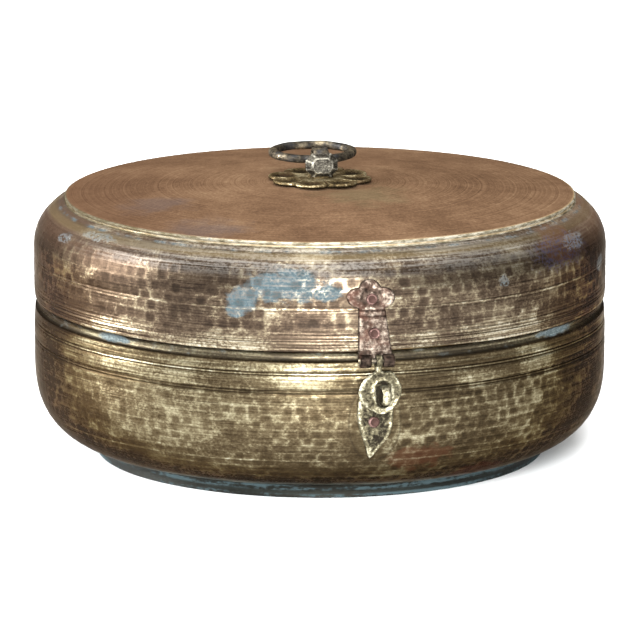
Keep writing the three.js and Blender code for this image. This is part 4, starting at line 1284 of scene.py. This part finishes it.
# %% Hasp link
LINK_CENTRE = Vector((3.2, PIN.y, 66.5))
LINK_OUTER = [(0, 10.2), (28, 10.4), (52, 11.0), (68, 12.2), (80, 10.6), (93, 11.4), (106, 12.4), (120, 11.4),
              (150, 12.2), (180, 13.0), (210, 12.6), (238, 11.4), (262, 12.2), (284, 11.7), (308, 10.2),
              (335, 9.7)]                   # degrees round the middle, and radius
LINK_SLOT = [(0, 4.4), (30, 4.9), (55, 5.6), (90, 6.1), (122, 5.4), (150, 4.2), (180, 3.6), (210, 3.9),
             (236, 5.8), (252, 8.0), (270, 8.5), (290, 8.2), (306, 6.6), (330, 5.1)]
LINK_SECTION = [(0.0, 0.5), (0.05, 0.85), (0.14, 1.1), (0.25, 1.1), (0.38, 1.05), (0.5, 1.0), (0.62, 1.05),
                (0.75, 1.1), (0.88, 1.1), (0.96, 0.8), (1.0, 0.3), (1.0, -0.5), (0.95, -1.1), (0.05, -1.1),
                (0.0, -0.6)]                # share of the way from slot to outline, and height


def closed_curve(table, angles):
    """A smooth closed curve through (degrees, radius) points, read at angles in degrees."""
    degrees_at, radii = map(np.array, zip(*table))
    degrees_at = np.concatenate([degrees_at - 360, degrees_at, degrees_at + 360])
    radii = np.tile(radii, 3)
    fine = np.interp(np.arange(-180, 540, 3), degrees_at, radii)
    soft = np.convolve(np.pad(fine, 3, mode="wrap"), np.array([1, 3, 6, 7, 6, 3, 1]) / 27, mode="valid")
    return np.interp(angles % 360, np.arange(-180, 540, 3), soft)


def shape_link(mesh):
    """Moves a plain ring's inner edge to the slot and its outer edge to the outline, and dishes it."""
    places = points_of(mesh) / MM
    angles = np.degrees(np.arctan2(places[:, 1], places[:, 0])) % 360
    share = np.hypot(places[:, 0], places[:, 1]) - 1
    slot, outer = closed_curve(LINK_SLOT, angles), closed_curve(LINK_OUTER, angles)
    radius = slot + (outer - slot) * share
    front = places[:, 2] > 0
    dish = np.clip(1 - ((share - 0.52) / 0.33) ** 2, 0, 1) * np.clip((outer - slot - 3.5) / 3, 0, 1)
    y = -places[:, 2] + np.where(front, dish * 0.75, 0)
    x = LINK_CENTRE.x + radius * np.cos(np.radians(angles))
    z = LINK_CENTRE.z + radius * np.sin(np.radians(angles))
    moved = np.stack([x, LINK_CENTRE.y + y, z], 1)
    store(mesh, moved * MM, dish * front)


link = turned([(1 + share, height) for share, height in LINK_SECTION], 200)
finish_piece(link, "link_loop", "hasp", WORN_BRASS, "hasp_link", 60, shape_link)

# %% Link's eye and tongue
TONGUE_X, TONGUE_HALF = 1, 1.6


def tongue_front(u, z, x):
    """The tongue's front, rounded towards its sides."""
    return PIN.y - 1.1 * (0.3 + 0.7 * soft_edge(u, 3, TONGUE_HALF)), 0.1


link_eye = turned(rounded(1.75, 3.3, -1.7, 1.7, 0.4), 48)
turn_to(link_eye, (1, 0, 0), (TONGUE_X, PIN.y, PIN.z))
finish_piece(link_eye, "link_eye", "hasp", WORN_BRASS, "hasp_link", 50, worn_by_use(0.1, 33))

tongue = sheet_plate(12, 8, (LINK_CENTRE.z + 10.4, PIN.z - 2.0),
                     lambda z: (TONGUE_X - TONGUE_HALF, TONGUE_X + TONGUE_HALF),
                     tongue_front, lambda u, z, x: PIN.y + 0.9)
finish_piece(tongue, "link_tongue", "hasp", WORN_BRASS, "hasp_link", 60)

# %% [markdown]
# ## Leaf behind the staple
#
# The staple comes through a plate cut like a leaf, dished between a raised rim and a vein. It is
# beaten against the bowl's belly, so its back follows the wall. Behind the link it carries a painted
# shadow.

# %% Leaf
LEAF_ROWS = [(29.0, -2.7, -2.2), (30.5, -3.6, -0.9), (33, -4.4, 1.0), (36, -5.2, 3.4), (40, -6.6, 6.4),
             (44, -8.1, 8.5), (48, -9.2, 9.3), (54, -9.8, 9.7), (60, -9.4, 9.8), (66, -8.0, 9.7),
             (69.5, -5.4, 8.6), (71.2, -2.6, 7.0), (72.0, 0.5, 5.6)]    # height, left and right edge
LEAF_TIP, LEAF_TOP = LEAF_ROWS[0][0], LEAF_ROWS[-1][0]
RIVET_SEAT = (-1, 49.9)


def leaf_edges(z):
    """Left and right edge of the leaf at a height."""
    heights, lefts, rights = zip(*LEAF_ROWS)
    return float(np.interp(z, heights, lefts)), float(np.interp(z, heights, rights))


def leaf_back(u, z, x):
    """The back lies on the wall."""
    return belly_drop(z) + PLATE_BACK


def leaf_front(u, z, x):
    """The dished front, with its rim, its vein, a flat seat for the rivet and a painted shadow behind the link.
    """
    left, right = leaf_edges(z)
    half = (right - left) / 2
    soft = soft_edge(u, min(LEAF_TOP - z, z - LEAF_TIP), half)
    inward = (1 - abs(u)) * half
    vein = hump(x, -1.0 + 0.1 * (z - 50), 0.7) * (z < 46)
    seat = hump(hypot(x - RIVET_SEAT[0], z - RIVET_SEAT[1]), 0, 3.6)
    dish = min(1, inward / 3) * (1 - vein * 0.7)
    relief = dish * 0.6 * (1 - seat * 0.6) + 0.08 * sin(2.3 * x + z) * sin(1.9 * z)
    face = leaf_back(u, z, x) - 1.55 * (0.25 + 0.75 * soft)
    # painted shadow: the leaf is darker behind the link, added to its hollow value
    link_shadow = hump(z, 66, 7) * (abs(x - 3) < 7)
    return face + relief * soft * 0.75, min(1.6, max(0, dish - hump(inward, 1.1, 0.8)) + link_shadow)


leaf = sheet_plate(84, 36, (LEAF_TIP, LEAF_TOP), leaf_edges, leaf_front, leaf_back)
finish_piece(leaf, "staple_leaf", "base", WORN_BRASS, "staple_plate", 60)

# %% [markdown]
# ## Staple
#
# The staple is a bow of flattened wire that stands out through the link's slot, so a bolt or a
# padlock can hold the box shut. Its section is swept: it is extruded from one station of its path
# to the next, and each new ring of vertices is moved to its station.

# %% Sweeping a section
def swept(section, stations):
    """A closed tube: the section's (side, up) points at each station's place, side and up vectors."""
    bm = bmesh.new()
    place, side, up = stations[0]
    ring = [bm.verts.new(place + side * a + up * b) for a, b in section]
    edges = [bm.edges.new(pair) for pair in zip(ring, ring[1:] + ring[:1])]
    bmesh.ops.edgeloop_fill(bm, edges=edges)
    order = ring
    for place, side, up in stations[1:]:
        step = bmesh.ops.extrude_edge_only(bm, edges=edges)
        new = [v for v in step["geom"] if isinstance(v, bmesh.types.BMVert)]
        partner = {v: next(e.other_vert(v) for e in v.link_edges if e.other_vert(v) in order) for v in new}
        following = sorted(new, key=lambda v: order.index(partner[v]))
        for vert, (a, b) in zip(following, section):
            vert.co = place + side * a + up * b
        order = following
        edges = [e for e in step["geom"]
                 if isinstance(e, bmesh.types.BMEdge) and all(v in new for v in e.verts)]
    bmesh.ops.edgeloop_fill(bm, edges=edges)
    return bm


# %% Staple
WIRE, WIRE_HALF = 2.2, 1.1                  # half widths of the wire, across and along the bow
BEND = 3.6                                  # radius of the bow's two bends
staple_low, staple_high = (Vector(c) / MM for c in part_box("staple"))


def staple_stations():
    """From the wall out along the upper leg, round the bow and back along the lower leg."""
    x = (staple_low.x + staple_high.x) / 2
    top, bottom = staple_high.z - WIRE_HALF - 0.05, staple_low.z + WIRE_HALF + 0.05
    bow, wall = staple_low.y + WIRE_HALF + 0.05, staple_high.y - 0.3
    near, far = staple_high.y - 2, bow + BEND
    path = [(wall, top, 90)] + [(y, top, 90) for y in np.linspace(near, far, 4)]
    for a in range(15, 91, 15):
        path.append((far - BEND * sin(radians(a)), top - BEND + BEND * cos(radians(a)), 90 - a))
    for a in range(0, 91, 15):
        path.append((far - BEND * cos(radians(a)), bottom + BEND - BEND * sin(radians(a)), -a))
    path += [(y, bottom, -90) for y in np.linspace(far, near, 4)] + [(wall, bottom, -90)]
    for y, z, turn in path:
        yield Vector((x, y, z)), Vector((1, 0, 0)), Vector((0, -cos(radians(turn)), sin(radians(turn))))


bow = swept(soft_oval(WIRE, WIRE_HALF, 0.8, 0.8, 20), list(staple_stations()))
finish_piece(bow, "staple_bow", "base", WORN_BRASS, "staple", 60, worn_by_use(0.12, 40))

# %% [markdown]
# ## Hinge at the back
#
# Two leaves with rounded ends, riveted to lid and base, meet in three knuckles round a steel-dark pin.

# %% Hinge leaves
HINGE = middle_of("hinge_pin")
KNUCKLES_HALF, LEAF_HALF = 17, 10           # half widths at the knuckles and at the rounded end
LEAF_THICK = 2.0


def hinge_leaf(up, far):
    """One leaf, drawn facing -y and then turned to the back. up is 1 for the lid's leaf."""
    def edges(z):
        rise = abs(z - HINGE.z)
        half = KNUCKLES_HALF if rise < 4.2 else max(LEAF_HALF, KNUCKLES_HALF - 7 * (rise - 4.2) / 5.9)
        if rise > far - LEAF_HALF:
            half = sqrt(max(0.2, LEAF_HALF**2 - (rise - far + LEAF_HALF) ** 2))
        return -half, half

    def front(u, z, x):
        rise = abs(z - HINGE.z)
        soft = soft_edge(u, min(far - rise, rise - 1.2), edges(z)[1])
        chased = hump(rise, 12.0, 0.5) + hump(rise, 13.6, 0.5)
        return PLATE_BACK - LEAF_THICK + (1 - soft) * 1.2 + chased * 0.3, min(1, chased)

    heights = (HINGE.z + 1.5, HINGE.z + far) if up > 0 else (HINGE.z - far, HINGE.z - 1.5)
    bm = sheet_plate(60, 30, heights, edges, front, lambda u, z, x: PLATE_BACK)
    bmesh.ops.rotate(bm, cent=(0, 0, 0), matrix=Matrix.Rotation(pi, 3, "Z"), verts=bm.verts)
    return bm


for up, body, node in ((1, "lid", "hinge_leaf_lid"), (-1, "base", "hinge_leaf_base")):
    box_low, box_high = (Vector(c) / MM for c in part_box(node))
    far = box_high.z - HINGE.z if up > 0 else HINGE.z - box_low.z
    finish_piece(hinge_leaf(up, far), node + "_worked", body, WORN_BRASS, node, 60)

# %% Hinge knuckles and pin
HINGE_KNUCKLES = [(-6.1, 6.1, "lid", "hinge_leaf_lid"), (-17, -6.42, "base", "hinge_leaf_base"),
                  (6.42, 17, "base", "hinge_leaf_base")]
for number, (west, east, body, node) in enumerate(HINGE_KNUCKLES):
    knuckle = along_x(turned(rounded(2.0, 4.2, west, east, 0.5), 56), HINGE)
    finish_piece(knuckle, f"hinge_knuckle_{number + 1}", body, WORN_BRASS, node, 50,
                 worn_by_use(0.12, 50 + number))

hinge_pin_outline = [(0, -18), (1.3, -17.8), (1.8, -17.2), (1.8, 17.2), (1.3, 17.8), (0, 18)]
hinge_pin = along_x(turned(hinge_pin_outline, 32), HINGE)
finish_piece(hinge_pin, "hinge_pin_worked", "base", DARK_BRONZE, "hinge_pin", 50)

# %% [markdown]
# ## Spice cups
#
# Seven cups stand loose in the bowl. Each is spun brass: a rounded foot, a straight side and a rim
# rolled outwards, which stiffens it. One outline serves all, moved to each cup's place.

# %% Spice cups
CUP_MOUTH, CUP_WALL = 43.0, 1.1
CUP_FOOT, CUP_STRAIGHT = CUP_MOUTH - 11, 27  # foot's radius, and where the side starts to be upright


def cup_outline(low, high):
    """Up the outside, over the rolled rim and down the inside."""
    side = CUP_MOUTH - 0.6
    outer = [(0, low + 0.4), (CUP_FOOT - 6, low + 0.4), (CUP_FOOT - 4, low)]
    for a in range(0, 91, 9):
        outer.append((CUP_FOOT + 10.4 * sin(radians(a)), low + 20 * (1 - cos(radians(a)))))
    outer += [(side, low + CUP_STRAIGHT), (side, high - 3.2)]
    outer += arc((CUP_MOUTH - 0.9, high - 1.2), 0.9, -60, 150, 7)
    inner = [(side - CUP_WALL, high - 3), (side - CUP_WALL, low + CUP_STRAIGHT)]
    for a in range(90, -1, -9):
        out, up = 10.4 * sin(radians(a)), 19 * (1 - cos(radians(a)))
        inner.append((CUP_FOOT - CUP_WALL + out, low + CUP_WALL + up))
    return outer + inner + [(CUP_FOOT - 8, low + CUP_WALL + 0.4), (0, low + CUP_WALL + 0.4)]


for number, name in enumerate(["cup_centre"] + [f"cup_{i}" for i in range(1, 7)]):
    low, high = (Vector(c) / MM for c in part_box(name))
    centre = (low + high) / 2
    cup = turned(cup_outline(low.z, high.z), 96)
    bmesh.ops.translate(cup, vec=(centre.x, centre.y, 0), verts=cup.verts)
    finish_piece(cup, name + "_spun", name, INNER_BRASS, name, 50,
                 worn_by_use(0.12, 60 + number))

# %% [markdown]
# ## Spoon
#
# A small brass spoon stands in the middle cup with its handle on the rim between two outer cups. The
# bowl is turned, the handle is a thin strip that widens to a rounded end, and both lean together.

# %% Spoon's place and bowl
cup_low, cup_high = (Vector(c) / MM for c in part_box("cup_centre"))
SPOON = 12.0                                # radius of the spoon's bowl
bowl_x, bowl_z = -(CUP_FOOT - SPOON - 2), cup_low.z + CUP_WALL + 0.8 * SPOON
run = CUP_MOUTH - bowl_x
slope = (cup_high.z - bowl_z) / run
rise = slope * run + 1.3 * hypot(1, slope) + CUP_WALL * slope
spoon_place = Matrix.Translation((bowl_x, 0, bowl_z)) @ Matrix.Rotation(-atan2(rise, run), 4, "Y")
spoon_outline = [(0, -5), (3.5, -4.75), (6.6, -4.1), (9.2, -2.9), (10.9, -1.3), (11.7, 0.1), (11.9, 0.6),
                 (11.6, 0.7), (10.9, 0.5), (10.2, -0.6), (8.6, -2.0), (6.2, -3.0), (3.4, -3.55), (0, -3.7)]
spoon_bowl = turned(spoon_outline, 64)
bmesh.ops.transform(spoon_bowl, matrix=spoon_place, verts=spoon_bowl.verts)
finish_piece(spoon_bowl, "spoon_bowl", "spoon", INNER_BRASS, "spoon", 60)

# %% Spoon's handle
HANDLE_START, HANDLE_HALF, END_HALF = 10.6, 2.0, 3.1
handle_length = hypot(rise, run) + 12
strip = [(-0.5, -0.68), (0.5, -0.68), (0.92, -0.5), (1.0, 0.0), (0.92, 0.5), (0.5, 0.68), (-0.5, 0.68),
         (-0.92, 0.5), (-1.0, 0.0), (-0.92, -0.5)]
lean = spoon_place.to_3x3()
stations = []
for share in (*np.linspace(0, 0.9, 12), 0.95, 0.98, 0.995):
    at = HANDLE_START + (handle_length - HANDLE_START) * share
    half = HANDLE_HALF + 1.1 * share
    if share >= 0.93:
        half = END_HALF * sqrt(max(0.05, 1 - ((share - 0.93) / 0.072) ** 2))
    stations.append((spoon_place @ Vector((at, 0, 0)), lean @ Vector((0, half, 0)), lean @ Vector((0, 0, 1))))
finish_piece(swept(strip, stations), "spoon_handle", "spoon", INNER_BRASS, "spoon", 60)

# %% [markdown]
# ## Last update of the scene
#
# The box round everything shown has to be the CAD model's box. The scene is updated once more at the end.

# %% Update the scene
bpy.context.view_layer.update()
